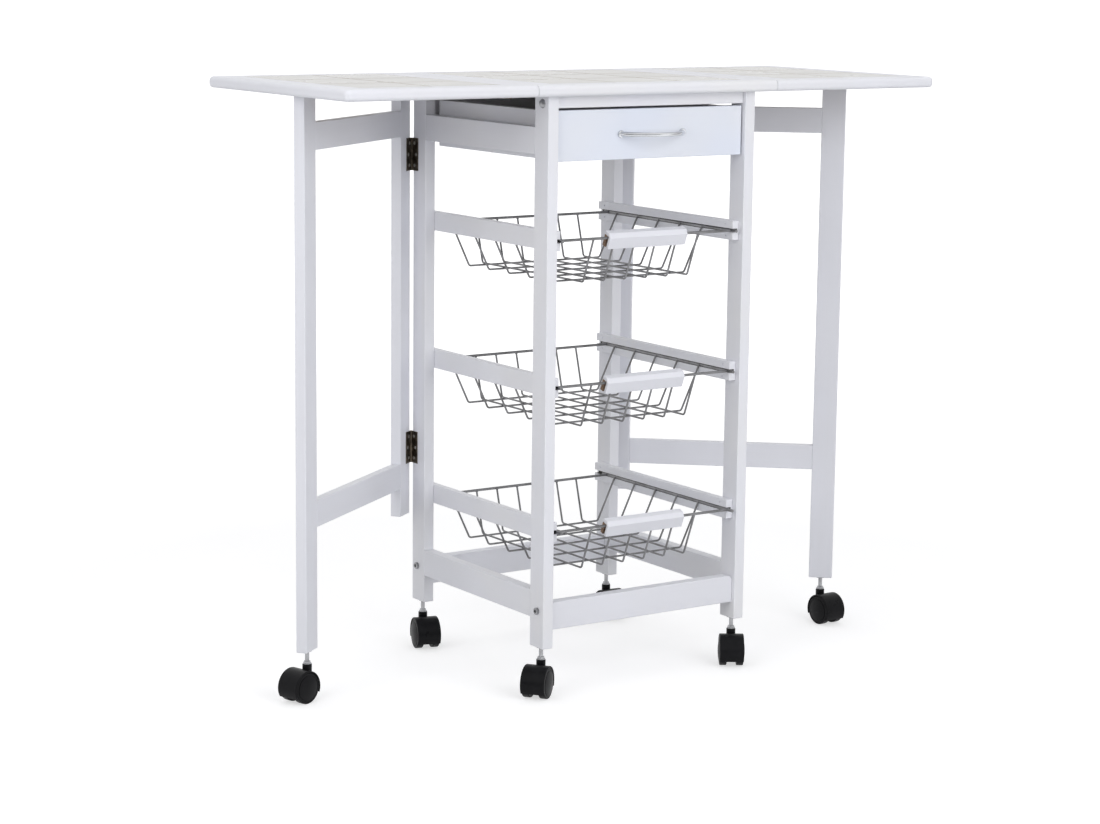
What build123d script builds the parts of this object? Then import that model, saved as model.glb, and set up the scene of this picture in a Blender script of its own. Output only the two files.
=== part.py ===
from build123d import *
import os
from math import atan2, cos, degrees, hypot, radians, sin, sqrt

os.makedirs("parts", exist_ok=True)

# Drop-leaf kitchen cart. Millimetres, +X to the right, +Y to the back, +Z up.
# The origin is on the floor at the centre of the whole cart's box.
# A narrow frame of four legs carries a tiled top, a drawer and wire baskets.
# A leaf is hinged to each end of the top and rests on a gate that swings out.

# ---- top and leaves
height = 780.0
top_length = 910.0
top_depth = 358.0
top_thickness = 14.6
centre_length = 371.0
joint_gap = 0.8
edge_round_top = 6.0
edge_round_bottom = 5.0
corner_round = 6.6
tile = 98.0
tile_joint = 2.0
tile_thickness = 5.0
tile_ease = 0.8
tile_rows = 3
centre_columns = 3
leaf_columns = 2
leaf_field_setback = 35.5
grout_drop = 0.6
tile_clearance = 0.1

# ---- frame
frame_width = 322.0
frame_depth = 323.9
top_overhang_front = 15.5
leg_x = 15.4
leg_y = 30.7
leg_bottom = 63.6
ease = 1.0
upper_rail_below_top = 39.1
upper_rail_height = 34.0
bottom_side_rail_bottom = 101.0
bottom_side_rail_height = 35.7
side_rail_thickness = 15.4
cross_setback = 5.8
cross_thickness = 15.3
apron_front_height = 15.4
apron_rear_height = 70.0
bottom_cross_rail_bottom = 86.2
bottom_cross_rail_height = 36.0
bottom_cross_rail_corner = 7.0

# ---- bolts through the legs into the cross rails
bolt_head_radius = 5.9
bolt_head_height = 4.4
bolt_shank_radius = 2.5
bolt_grip = 30.0
bolt_fit = 0.05
apron_bolt_below_top = 9.4
low_bolt_height = 112.0
low_bolt_head_radius = 4.4
low_bolt_head_height = 3.6
hex_socket_flats = 4.2
hex_socket_depth = 2.2

# ---- drawer
drawer_front_width = 286.8
drawer_front_gap = 2.9
drawer_front_height = 63.4
drawer_front_thickness = 15.0
drawer_side_thickness = 12.0
drawer_side_below_top = 20.0
drawer_side_height = 60.6
drawer_side_length = 270.0
drawer_side_play = 4.6
drawer_bottom_thickness = 4.0
drawer_bottom_lift = 6.0
drawer_groove_depth = 4.0
drawer_panel_clearance = 0.1
drawer_runner_height = 10.0
drawer_runner_depth = 11.0
drawer_runner_lift = 26.2
drawer_runner_clearance = 0.3
drawer_runner_setback = 22.0
handle_span = 96.0
handle_lift = 32.0
handle_projection = 33.3
handle_end_radius = 3.5
handle_middle_radius = 2.6
handle_foot_radius = 4.7
handle_foot_length = 3.0

# ---- wire baskets on grooved runners
top_runner_below_top = 180.8
bottom_runner_centre = 213.0
basket_names = ["top", "middle", "bottom"]
basket_forward = [0.0, 0.0, 5.0]
runner_height = 25.5
runner_thickness = 10.2
runner_setback = 8.3
groove_height = 4.8
groove_depth = 7.0
nail_radius = 1.2
nail_depth = 1.2
nail_inset = 15.0
nail_offset = 7.8
rim_wire_radius = 2.0
rim_cross_radius = 1.8
rim_in_groove = 1.2
rim_clearance = 0.3
rim_front_setback = 12.5
rim_length = 277.6
rim_tip = 11.0
basket_wire_radius = 1.3
basket_depth = 60.9
front_lean = 22.5
rear_lean = 16.5
side_lean = 28.6
side_wire_inset = 2.0
basket_bend = 4.5
long_wires = 6
long_wire_pitch = 32.9
cross_wires = 5
cross_wire_pitch = 48.9
cross_wire_shift = 17.4
weld_sink = 0.3
grip_width = 122.0
grip_above_rim = 7.0
grip_below_rim = 13.5
grip_front = 6.0
grip_rear = 7.5
grip_bevel = 5.0
grip_slot_clearance = 0.15

# ---- leaf hinges
flap_length = 45.0
flap_from_middle = 92.0
flap_plate = 20.0
flap_plate_thickness = 1.4
flap_barrel_radius = 2.6
flap_barrel_drop = 0.2

# ---- gates and their butt hinges
gate_left_degrees = 54.3
gate_right_degrees = 48.7
gate_thickness = 14.5
gate_gap = 2.4
gate_under_leaf = 0.3
gate_leg_width = 32.7
gate_leg_bottom = 64.4
gate_post_width = 30.7
gate_post_bottom = 183.0
gate_rail_thickness = 12.0
gate_top_rail_below_top = 34.0
gate_bottom_rail_lift = 38.3
gate_rail_height = 34.7
upper_butt_below_top = 114.8
lower_butt_lift = 70.5
butt_length = 43.5
butt_plate = 13.0
butt_plate_thickness = 1.0
butt_barrel_radius = 2.0
butt_barrel_gap = 0.2
knuckles = 5
knuckle_gap = 0.15
pin_radius = 1.0
pin_fit = 0.06
screw_radius = 2.4
screw_shank_radius = 1.3
screw_length = 9.0
screw_head_depth = 0.8
screw_proud = 0.1
screw_fit = 0.03
screw_stagger = 1.9
screw_end_inset = 7.0

# ---- twin-wheel casters
wheel_radius = 20.0
wheel_width = 9.4
wheel_split = 13.0
wheel_ease = 1.2
wheel_ring_radius = 17.2
wheel_ring_width = 0.9
wheel_ring_depth = 0.5
wheel_cap_step = 0.3
wheel_cap_crown = 2.2
caster_trail = 14.5
hood_gap = 0.6
hood_wall = 1.9
hood_overlap = 0.3
hood_edge = 1.2
hood_rear_degrees = -30.0
hood_front_degrees = 202.0
web_gap = 0.5
web_floor = 8.6
web_step = 7.0
web_rear_reach = 9.0
neck_radius = 6.1
neck_top = 47.0
neck_ease = 0.8
axle_radius = 2.0
axle_fit = 0.05
axle_grip = 8.0
stem_radius = 2.8
stem_fit = 0.06
stem_in_neck = 16.0
stem_in_leg = 24.0
stem_end_gap = 1.0
flange_radius = 5.6
flange_height = 0.8
flange_gap = 0.4
nut_flats = 8.6
nut_height = 2.4
collar_radius = 6.0
collar_height = 1.0
trail_directions = {
    "front_left": -141.8,
    "front_right": -123.8,
    "rear_left": -105.8,
    "rear_right": -95.0,
    "gate_left": -162.7,
    "gate_right": -90.0,
}

# ---- heights and places that follow from the sizes above
handle_beyond = handle_projection - cross_setback - top_overhang_front
top_front = handle_beyond - (top_depth + handle_beyond) / 2
top_rear = top_front + top_depth
top_middle = top_front + top_depth / 2
underside = height - top_thickness
joint_x = centre_length / 2
frame_x = frame_width / 2
leg_inner = frame_x - leg_x
frame_front = top_front + top_overhang_front
frame_rear = frame_front + frame_depth
cross_front = frame_front + cross_setback
cross_rear = frame_rear - cross_setback
runner_front = frame_front + runner_setback
runner_rear = frame_rear - runner_setback
runner_inner = leg_inner - runner_thickness
hinge_x = frame_x + gate_gap / 2
hinge_y = frame_rear + butt_barrel_radius + butt_barrel_gap
gate_face = frame_x + gate_gap
gate_length = frame_depth
gate_top = underside - gate_under_leaf
upper_rail_bottom = underside - upper_rail_below_top - upper_rail_height
apron_front_bottom = underside - apron_front_height
apron_rear_bottom = underside - apron_rear_height
drawer_front_bottom = apron_front_bottom - drawer_front_gap - drawer_front_height
drawer_side_bottom = underside - drawer_side_below_top - drawer_side_height
drawer_runner_centre = drawer_side_bottom + drawer_runner_lift
handle_height = drawer_front_bottom + handle_lift
top_runner_centre = underside - top_runner_below_top
runner_centres = [
    top_runner_centre,
    (top_runner_centre + bottom_runner_centre) / 2,
    bottom_runner_centre,
]
gate_top_rail_bottom = gate_top - gate_top_rail_below_top - gate_rail_height
gate_bottom_rail_bottom = gate_post_bottom + gate_bottom_rail_lift
butt_heights = [underside - upper_butt_below_top, gate_post_bottom + lower_butt_lift]
flap_z = underside - flap_barrel_radius - flap_barrel_drop
sides = {"left": -1, "right": 1}


def block(x0, x1, y0, y1, z0, z1, rounding=0.0):
    """A rectangular board between its faces, with every edge eased."""
    solid = Pos((x0 + x1) / 2, (y0 + y1) / 2, (z0 + z1) / 2)
    solid = solid * Box(abs(x1 - x0), abs(y1 - y0), abs(z1 - z0))
    if rounding > 0:
        solid = fillet(solid.edges(), rounding)
    return solid


def rod(start, end, radius):
    """A round bar from one point to another."""
    start = Vector(*start)
    end = Vector(*end)
    plane = Plane(origin=start, z_dir=end - start)
    return extrude(plane * Circle(radius), amount=(end - start).length)


def mirrored(solid):
    """The same piece on the other side of the cart."""
    return mirror(solid, about=Plane.YZ)


def on_side(solid, side):
    """A piece drawn for the left side, mirrored when it is the right one."""
    if side > 0:
        return mirrored(solid)
    return solid


def turned(solid, x, y, angle):
    """A piece turned about an upright axis."""
    return Pos(x, y, 0) * Rot(0, 0, angle) * Pos(-x, -y, 0) * solid


def write(name, solids):
    """One STEP file for each named piece of the cart."""
    found = []
    for item in solids:
        found.extend(item.solids())
    shape = found[0] if len(found) == 1 else Compound(children=found)
    export_step(shape, "parts/" + name + ".step")


# ---- frame -------------------------------------------------------------

def leg_places():
    """Name, side and the front face of each of the four legs."""
    return [
        ("front_left", -1, frame_front),
        ("front_right", 1, frame_front),
        ("rear_left", -1, frame_rear - leg_y),
        ("rear_right", 1, frame_rear - leg_y),
    ]


def leg_centre(side, y):
    """Where the caster's stem goes up into a leg."""
    return side * (frame_x - leg_x / 2), y + leg_y / 2


def bolt_places():
    """Side, depth, height and head of each bolt in the legs' outer faces."""
    front = cross_front + cross_thickness / 2
    rear = cross_rear - cross_thickness / 2
    places = []
    for side in sides.values():
        for y in (front, rear):
            places.append((side, y, underside - apron_bolt_below_top, True))
            places.append((side, y, low_bolt_height, False))
    return places


def bolt(side, y, z, domed):
    """A bolt with a domed head, or a straight head with a hex socket."""
    solid = rod((bolt_grip - frame_x, y, z), (-frame_x, y, z), bolt_shank_radius)
    if domed:
        ball = (bolt_head_radius ** 2 + bolt_head_height ** 2) / (2 * bolt_head_height)
        dome = Pos(ball - bolt_head_height - frame_x, y, z) * Sphere(ball)
        reach = -frame_x - bolt_head_height - 1
        keep = rod((-frame_x, y, z), (reach, y, z), bolt_head_radius + 1)
        return on_side(solid + (dome & keep), side)
    reach = -frame_x - low_bolt_head_height
    head = rod((-frame_x, y, z), (reach, y, z), low_bolt_head_radius)
    rim = head.edges().filter_by(GeomType.CIRCLE).sort_by(Axis.X)[0]
    head = fillet(rim, 0.8)
    plane = Plane(origin=(reach, y, z), z_dir=(1, 0, 0))
    hexagon = plane * RegularPolygon(hex_socket_flats / 2, 6, major_radius=False)
    return on_side(solid + head - extrude(hexagon, amount=hex_socket_depth), side)


def bolt_bore(side, y, z):
    """The hole that a bolt's shank goes through."""
    end = side * (frame_x - bolt_grip)
    reach = side * (frame_x + 1)
    return rod((end, y, z), (reach, y, z), bolt_shank_radius + bolt_fit)


def leg(side, y):
    """One upright leg with its bolt holes and the hole for the stem."""
    solid = block(side * leg_inner, side * frame_x, y, y + leg_y, leg_bottom, underside, ease)
    for bolt_side, bolt_y, z, _ in bolt_places():
        if bolt_side == side and y < bolt_y < y + leg_y:
            solid -= bolt_bore(side, bolt_y, z)
    x, stem_y = leg_centre(side, y)
    bore = rod((x, stem_y, leg_bottom - 1), (x, stem_y, leg_bottom + stem_in_leg), stem_radius + stem_fit)
    return solid - bore


def side_rail(side, bottom, rail_height):
    """A rail between the front and the rear leg, flush with their outer faces."""
    inner = side * (frame_x - side_rail_thickness)
    return block(
        inner, side * frame_x,
        frame_front + leg_y, frame_rear - leg_y,
        bottom, bottom + rail_height, ease,
    )


def cross_rail(y0, y1, bottom, rail_height):
    """A rail between the left and the right leg, with the bolts' holes."""
    solid = block(-leg_inner, leg_inner, y0, y1, bottom, bottom + rail_height, ease)
    return drilled(solid, y0, y1, bottom, rail_height)


def drilled(solid, y0, y1, bottom, rail_height):
    """The bolt holes in the two ends of a cross rail."""
    for side, y, z, _ in bolt_places():
        if y0 < y < y1 and bottom < z < bottom + rail_height:
            solid -= bolt_bore(side, y, z)
    return solid


def bottom_cross_rail(y0, y1):
    """A low cross rail whose upper corners are rounded."""
    face = block(
        -leg_inner, leg_inner, y0, y1,
        bottom_cross_rail_bottom,
        bottom_cross_rail_bottom + bottom_cross_rail_height,
    )
    corners = face.edges().filter_by(Axis.Y).group_by(Axis.Z)[-1]
    face = fillet(corners, bottom_cross_rail_corner)
    rims = face.faces().filter_by(Axis.Y).edges()
    face = fillet(rims, ease)
    return drilled(face, y0, y1, bottom_cross_rail_bottom, bottom_cross_rail_height)


def basket_runner(side, centre):
    """A grooved strip on the legs' inner faces, with its nail holes."""
    solid = block(
        side * runner_inner, side * leg_inner,
        runner_front, runner_rear,
        centre - runner_height / 2, centre + runner_height / 2, ease,
    )
    groove = block(
        side * (runner_inner - 1), side * (runner_inner + groove_depth),
        runner_front - 1, runner_rear + 1,
        centre - groove_height / 2, centre + groove_height / 2,
    )
    solid -= groove
    for y in (runner_front + nail_inset, runner_rear - nail_inset):
        for z in (centre - nail_offset, centre + nail_offset):
            start = (side * (runner_inner - 1), y, z)
            end = (side * (runner_inner + nail_depth), y, z)
            solid -= rod(start, end, nail_radius)
    return solid


def drawer_runner(side):
    """A strip on the upper rail's inner face that the drawer's groove runs on."""
    outer = frame_x - side_rail_thickness
    return block(
        side * (outer - drawer_runner_depth), side * outer,
        cross_front + drawer_runner_setback, cross_rear - cross_thickness,
        drawer_runner_centre - drawer_runner_height / 2,
        drawer_runner_centre + drawer_runner_height / 2, 0.8,
    )


# ---- top and leaves ------------------------------------------------------

def tile_corners(first_x, columns):
    """The low corner of every tile in a field of square tiles."""
    pitch = tile + tile_joint
    first_y = top_middle - (tile_rows * pitch - tile_joint) / 2
    corners = []
    for column in range(columns):
        for row in range(tile_rows):
            corners.append((first_x + column * pitch, first_y + row * pitch))
    return corners


def tiles(first_x, columns):
    """The glazed tiles of one field, flush with the boards round them."""
    solids = []
    for x, y in tile_corners(first_x, columns):
        one = block(x, x + tile, y, y + tile, height - tile_thickness, height)
        uppers = one.faces().sort_by(Axis.Z)[-1].edges()
        solids.append(fillet(uppers, tile_ease))
    return solids


def tray(solid, first_x, columns):
    """The pockets for the tiles, with low ridges of grout between them."""
    pitch = tile + tile_joint
    first_y = top_middle - (tile_rows * pitch - tile_joint) / 2
    last_x = first_x + columns * pitch - tile_joint
    last_y = first_y + tile_rows * pitch - tile_joint
    c = tile_clearance
    solid -= block(first_x - c, last_x + c, first_y - c, last_y + c, height - grout_drop, height + 1)
    for x, y in tile_corners(first_x, columns):
        solid -= block(x - c, x + tile + c, y - c, y + tile + c, height - tile_thickness, height + 1)
    return solid


def centre_first_x():
    """Where the middle field of tiles starts."""
    pitch = tile + tile_joint
    return -(centre_columns * pitch - tile_joint) / 2


def leaf_first_x():
    """Where the left leaf's field of tiles starts."""
    pitch = tile + tile_joint
    return -joint_x - leaf_field_setback - (leaf_columns * pitch - tile_joint)


def top_board():
    """The middle of the top, rounded at the front and the back."""
    solid = block(
        -joint_x + joint_gap / 2, joint_x - joint_gap / 2,
        top_front, top_rear, underside, height,
    )
    long_edges = solid.edges().filter_by(Axis.X)
    solid = fillet(long_edges.group_by(Axis.Z)[-1], edge_round_top)
    long_edges = solid.edges().filter_by(Axis.X)
    solid = fillet(long_edges.group_by(Axis.Z)[0], edge_round_bottom)
    solid = tray(solid, centre_first_x(), centre_columns)
    for side in sides.values():
        for point in flap_screws(side, -1):
            solid -= pilot(point, (0, 0, -1))
    return solid


def leaf_board(side):
    """A leaf, rounded along its three free edges."""
    solid = block(
        -top_length / 2, -joint_x - joint_gap / 2,
        top_front, top_rear, underside, height,
    )
    corners = solid.edges().filter_by(Axis.Z).group_by(Axis.X)[0]
    solid = fillet(corners, corner_round)
    upper = solid.faces().sort_by(Axis.Z)[-1].edges().sort_by(Axis.X)[:-1]
    solid = fillet(upper, edge_round_top)
    lower = solid.faces().sort_by(Axis.Z)[0].edges().sort_by(Axis.X)[:-1]
    solid = fillet(lower, edge_round_bottom)
    solid = tray(solid, leaf_first_x(), leaf_columns)
    for point in flap_screws(-1, 1):
        solid -= pilot(point, (0, 0, -1))
    return on_side(solid, side)


# ---- hinges --------------------------------------------------------------

def screw_rows(length):
    """Places along a hinge of its three screws, with their stagger."""
    reach = length / 2 - screw_end_inset
    return [(-reach, screw_stagger), (0.0, -screw_stagger), (reach, screw_stagger)]


def screw(point, out):
    """A countersunk screw: its head's face looks along out."""
    point = Vector(*point)
    out = Vector(*out)
    head = rod(point - out * screw_head_depth, point + out * screw_proud, screw_radius)
    return head + rod(point - out * screw_length, point, screw_shank_radius)


def screw_seat(point, out):
    """The hole in a hinge plate that a screw's head and shank fill."""
    point = Vector(*point)
    out = Vector(*out)
    floor = point - out * (screw_head_depth + screw_fit)
    head = rod(floor, point + out, screw_radius + screw_fit)
    return head + rod(point - out * screw_length, point, screw_shank_radius + screw_fit)


def pilot(point, out):
    """The screw's hole in the wood."""
    point = Vector(*point)
    out = Vector(*out)
    start = point - out * (screw_length + screw_fit)
    return rod(start, point + out * 0.2, screw_shank_radius + screw_fit)


def knuckle_spans(length, fixed):
    """The stretches of a hinge's barrel that belong to one of its plates."""
    step = length / knuckles
    spans = []
    for index in range(knuckles):
        if (index % 2 == 0) == fixed:
            low = 0.0 if index == 0 else knuckle_gap / 2
            high = 0.0 if index == knuckles - 1 else knuckle_gap / 2
            spans.append((index * step + low, (index + 1) * step - high))
    return spans


def butt_points(x, bottom):
    """The screws' places on one plate of a gate's hinge, when folded."""
    middle = hinge_y - butt_barrel_radius - butt_barrel_gap - butt_plate / 2
    points = []
    for along, stagger in screw_rows(butt_length):
        points.append((x, middle + stagger, bottom + butt_length / 2 + along))
    return points


def butt_plate_solids(bottom, fixed):
    """One plate of a gate's hinge on the left side, folded, and its screws."""
    wood = -frame_x if fixed else -gate_face
    out = -1 if fixed else 1
    face = wood + out * butt_plate_thickness
    plate_end = hinge_y - butt_barrel_radius - butt_barrel_gap
    solid = block(wood, face, plate_end - butt_plate, plate_end, bottom, bottom + butt_length)
    for low, high in knuckle_spans(butt_length, fixed):
        z0 = bottom + low
        z1 = bottom + high
        solid += block(wood, face, plate_end - 1, hinge_y, z0, z1)
        solid += rod((-hinge_x, hinge_y, z0), (-hinge_x, hinge_y, z1), butt_barrel_radius)
    core = rod((-hinge_x, hinge_y, bottom), (-hinge_x, hinge_y, bottom + butt_length), pin_radius)
    if fixed:
        solid += core
    else:
        bore = rod(
            (-hinge_x, hinge_y, bottom - 1),
            (-hinge_x, hinge_y, bottom + butt_length + 1),
            pin_radius + pin_fit,
        )
        solid -= bore
    points = butt_points(face, bottom)
    for point in points:
        solid -= screw_seat(point, (out, 0, 0))
    return [solid] + [screw(point, (out, 0, 0)) for point in points]


def flap_middles():
    """The middle of each hinge along the joint between top and leaf."""
    return [top_middle - flap_from_middle, top_middle + flap_from_middle]


def flap_screws(side, away):
    """The screws' places under one plate of every hinge of a joint."""
    x = side * (joint_x + away * (flap_barrel_radius + flap_plate / 2 + 0.5))
    points = []
    for middle in flap_middles():
        for along, stagger in screw_rows(flap_length):
            points.append((x + side * stagger, middle + along, underside - flap_plate_thickness))
    return points


def flap_plates(side, away):
    """One plate of both hinges of a joint: away is 1 for the leaf's plate."""
    fixed = away < 0
    solids = []
    near = joint_x + away * (flap_barrel_radius + 0.3)
    far = joint_x + away * (flap_barrel_radius + 0.3 + flap_plate)
    low = underside - flap_plate_thickness
    for middle in flap_middles():
        start = middle - flap_length / 2
        solid = block(side * near, side * far, start, start + flap_length, low, underside)
        for first, last in knuckle_spans(flap_length, fixed):
            y0 = start + first
            y1 = start + last
            tab_end = joint_x + away * joint_gap / 2
            solid += block(side * tab_end, side * (near + away), y0, y1, low, underside)
            solid += rod((side * joint_x, y0, flap_z), (side * joint_x, y1, flap_z), flap_barrel_radius)
        reach = start + flap_length
        if fixed:
            solid += rod((side * joint_x, start, flap_z), (side * joint_x, reach, flap_z), pin_radius)
        else:
            bore_start = (side * joint_x, start - 1, flap_z)
            bore_end = (side * joint_x, reach + 1, flap_z)
            solid -= rod(bore_start, bore_end, pin_radius + pin_fit)
        for point in flap_screws(side, away):
            if start < point[1] < reach:
                solid -= screw_seat(point, (0, 0, -1))
        solids.append(solid)
    for point in flap_screws(side, away):
        solids.append(screw(point, (0, 0, -1)))
    return solids


# ---- gates ---------------------------------------------------------------

def gate_rest_angle(side):
    """How far a gate stands open, as a turn about its hinge."""
    return -gate_left_degrees if side < 0 else gate_right_degrees


def open_gate(solid, side):
    """A folded piece of the left gate, mirrored and swung to where it stands."""
    return turned(on_side(solid, side), side * hinge_x, hinge_y, gate_rest_angle(side))


def gate_outer_leg(side):
    """The gate's long leg at its free end, with the hole for the stem."""
    front = frame_rear - gate_length
    solid = block(
        -gate_face - gate_thickness, -gate_face,
        front, front + gate_leg_width, gate_leg_bottom, gate_top, ease,
    )
    x, y = gate_stem_folded()
    bore = rod((x, y, gate_leg_bottom - 1), (x, y, gate_leg_bottom + stem_in_leg), stem_radius + stem_fit)
    return open_gate(solid - bore, side)


def gate_stem_folded():
    """Where the stem goes up into the folded left gate's leg."""
    return -gate_face - gate_thickness / 2, frame_rear - gate_length + gate_leg_width / 2


def gate_stem_place(side):
    """Where the stem of a gate's caster stands with the gate open."""
    x, y = gate_stem_folded()
    x = -side * x
    angle = radians(gate_rest_angle(side))
    dx = x - side * hinge_x
    dy = y - hinge_y
    return (
        side * hinge_x + dx * cos(angle) - dy * sin(angle),
        hinge_y + dx * sin(angle) + dy * cos(angle),
    )


def gate_inner_post(side):
    """The short post that the gate's hinges are screwed to."""
    solid = block(
        -gate_face - gate_thickness, -gate_face,
        frame_rear - gate_post_width, frame_rear, gate_post_bottom, gate_top, ease,
    )
    for bottom in butt_heights:
        for point in butt_points(-gate_face + butt_plate_thickness, bottom):
            solid -= pilot(point, (1, 0, 0))
    return open_gate(solid, side)


def gate_rail(side, bottom):
    """A rail between the gate's post and its leg, flush on the inner face."""
    solid = block(
        -gate_face - gate_rail_thickness, -gate_face,
        frame_rear - gate_length + gate_leg_width, frame_rear - gate_post_width,
        bottom, bottom + gate_rail_height, ease,
    )
    return open_gate(solid, side)


def gate_hinge_plates(side):
    """The gate's plates of both hinges, with their screws."""
    solids = []
    for bottom in butt_heights:
        for solid in butt_plate_solids(bottom, False):
            solids.append(open_gate(solid, side))
    return solids


def fixed_hinge_plates():
    """The rear legs' plates of all the gate hinges, with their screws."""
    solids = []
    for side in sides.values():
        for bottom in butt_heights:
            for solid in butt_plate_solids(bottom, True):
                solids.append(on_side(solid, side))
    return solids


def hinged_leg(side, y):
    """A rear leg with the holes for the gate hinge's screws."""
    solid = leg(side, y)
    for bottom in butt_heights:
        for point in butt_points(-frame_x - butt_plate_thickness, bottom):
            solid -= on_side(pilot(point, (-1, 0, 0)), side)
    return solid


# ---- drawer --------------------------------------------------------------

drawer_side_outer = frame_x - side_rail_thickness - drawer_side_play
drawer_side_inner = drawer_side_outer - drawer_side_thickness
drawer_side_front = cross_front + drawer_front_thickness
drawer_side_rear = drawer_side_front + drawer_side_length
drawer_floor = drawer_side_bottom + drawer_bottom_lift


def floor_groove(x0, x1, y0, y1):
    """The groove that holds the drawer's bottom panel."""
    low = drawer_floor - drawer_panel_clearance
    high = drawer_floor + drawer_bottom_thickness + drawer_panel_clearance
    return block(x0, x1, y0, y1, low, high)


def floor_reach():
    """How far the bottom panel goes into its grooves."""
    return drawer_groove_depth - drawer_panel_clearance


def drawer_front():
    """The drawer's front board, which stands between the front legs."""
    solid = block(
        -drawer_front_width / 2, drawer_front_width / 2,
        cross_front, drawer_side_front,
        drawer_front_bottom, drawer_front_bottom + drawer_front_height, ease,
    )
    return solid - floor_groove(
        -drawer_side_inner, drawer_side_inner,
        drawer_side_front - drawer_groove_depth, drawer_side_front + 1,
    )


def drawer_side(side):
    """A drawer side with the groove that runs on the frame's strip."""
    solid = block(
        side * drawer_side_inner, side * drawer_side_outer,
        drawer_side_front, drawer_side_rear,
        drawer_side_bottom, drawer_side_bottom + drawer_side_height, 0.6,
    )
    strip_face = frame_x - side_rail_thickness - drawer_runner_depth
    half = drawer_runner_height / 2 + drawer_runner_clearance
    solid -= block(
        side * (strip_face - drawer_runner_clearance), side * (drawer_side_outer + 1),
        drawer_side_front - 1, drawer_side_rear + 1,
        drawer_runner_centre - half, drawer_runner_centre + half,
    )
    return solid - floor_groove(
        side * (drawer_side_inner - 1), side * (drawer_side_inner + drawer_groove_depth),
        drawer_side_front - 1, drawer_side_rear - drawer_side_thickness,
    )


def drawer_back():
    """The drawer's back board between its sides."""
    solid = block(
        -drawer_side_inner, drawer_side_inner,
        drawer_side_rear - drawer_side_thickness, drawer_side_rear,
        drawer_side_bottom, drawer_side_bottom + drawer_side_height, 0.6,
    )
    back = drawer_side_rear - drawer_side_thickness
    return solid - floor_groove(
        -drawer_side_inner - 1, drawer_side_inner + 1, back - 1, back + drawer_groove_depth,
    )


def drawer_bottom():
    """The thin panel in the drawer's grooves, notched at its four corners."""
    reach = floor_reach()
    rear = drawer_side_rear - drawer_side_thickness
    half = drawer_side_inner - drawer_panel_clearance
    top = drawer_floor + drawer_bottom_thickness
    across = block(
        -drawer_side_inner - reach, drawer_side_inner + reach,
        drawer_side_front, rear, drawer_floor, top,
    )
    return across + block(-half, half, drawer_side_front - reach, rear + reach, drawer_floor, top)


def drawer_handle():
    """A bow of round bar that is slimmer towards its middle, on two feet."""
    half = handle_span / 2
    path = ThreePointArc(
        (-half, cross_front, handle_height),
        (0, cross_front - handle_projection + handle_middle_radius, handle_height),
        (half, cross_front, handle_height),
    )
    sections = []
    radii = (handle_end_radius, handle_middle_radius, handle_end_radius)
    for share, radius in zip((0, 0.5, 1), radii):
        sections.append(Plane(origin=path @ share, z_dir=path % share) * Circle(radius))
    bow = sweep(sections, path=path, multisection=True)
    keep = block(
        -handle_span, handle_span, cross_front - 2 * handle_projection, cross_front,
        handle_height - handle_projection, handle_height + handle_projection,
    )
    bow = bow & keep
    for x in (-half, half):
        start = (x, cross_front, handle_height)
        end = (x, cross_front - handle_foot_length, handle_height)
        foot = rod(start, end, handle_foot_radius)
        rim = foot.edges().filter_by(GeomType.CIRCLE).sort_by(Axis.Y)[0]
        bow += fillet(rim, 1.0)
    return bow


# ---- baskets -------------------------------------------------------------

rim_x = runner_inner + rim_in_groove
rim_z = -groove_height / 2 + rim_clearance + rim_wire_radius
rim_front = frame_front + rim_front_setback
rim_rear = rim_front + rim_length


def bent_wire(points):
    """A thin wire through its points, with a small bend at each corner."""
    path = FilletPolyline(*points, radius=basket_bend)
    section = Plane(origin=path @ 0, z_dir=path % 0) * Circle(basket_wire_radius)
    return sweep(section, path=path)


def basket_wires():
    """The whole wire basket, welded, with its rim at the runner's groove."""
    low = -basket_depth + basket_wire_radius
    upper = low + 2 * basket_wire_radius - weld_sink
    solid = rod((-rim_x, rim_front, rim_z), (rim_x, rim_front, rim_z), rim_cross_radius)
    solid += rod((-rim_x, rim_rear, rim_z), (rim_x, rim_rear, rim_z), rim_cross_radius)
    for side in sides.values():
        start = (side * rim_x, rim_front - rim_tip, rim_z)
        end = (side * rim_x, rim_rear + rim_tip, rim_z)
        solid += rod(start, end, rim_wire_radius)
    middle = (rim_front + front_lean + rim_rear - rear_lean) / 2 + cross_wire_shift
    side_x = rim_x - side_wire_inset
    pieces = []
    for index in range(cross_wires):
        y = middle + (index - (cross_wires - 1) / 2) * cross_wire_pitch
        pieces.append(bent_wire([
            (-side_x, y, rim_z),
            (-side_x + side_lean, y, low),
            (side_x - side_lean, y, low),
            (side_x, y, rim_z),
        ]))
    for index in range(long_wires):
        x = (index - (long_wires - 1) / 2) * long_wire_pitch
        pieces.append(bent_wire([
            (x, rim_front, rim_z),
            (x, rim_front + front_lean, upper),
            (x, rim_rear - rear_lean, upper),
            (x, rim_rear, rim_z),
        ]))
    return solid.fuse(*pieces)


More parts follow.
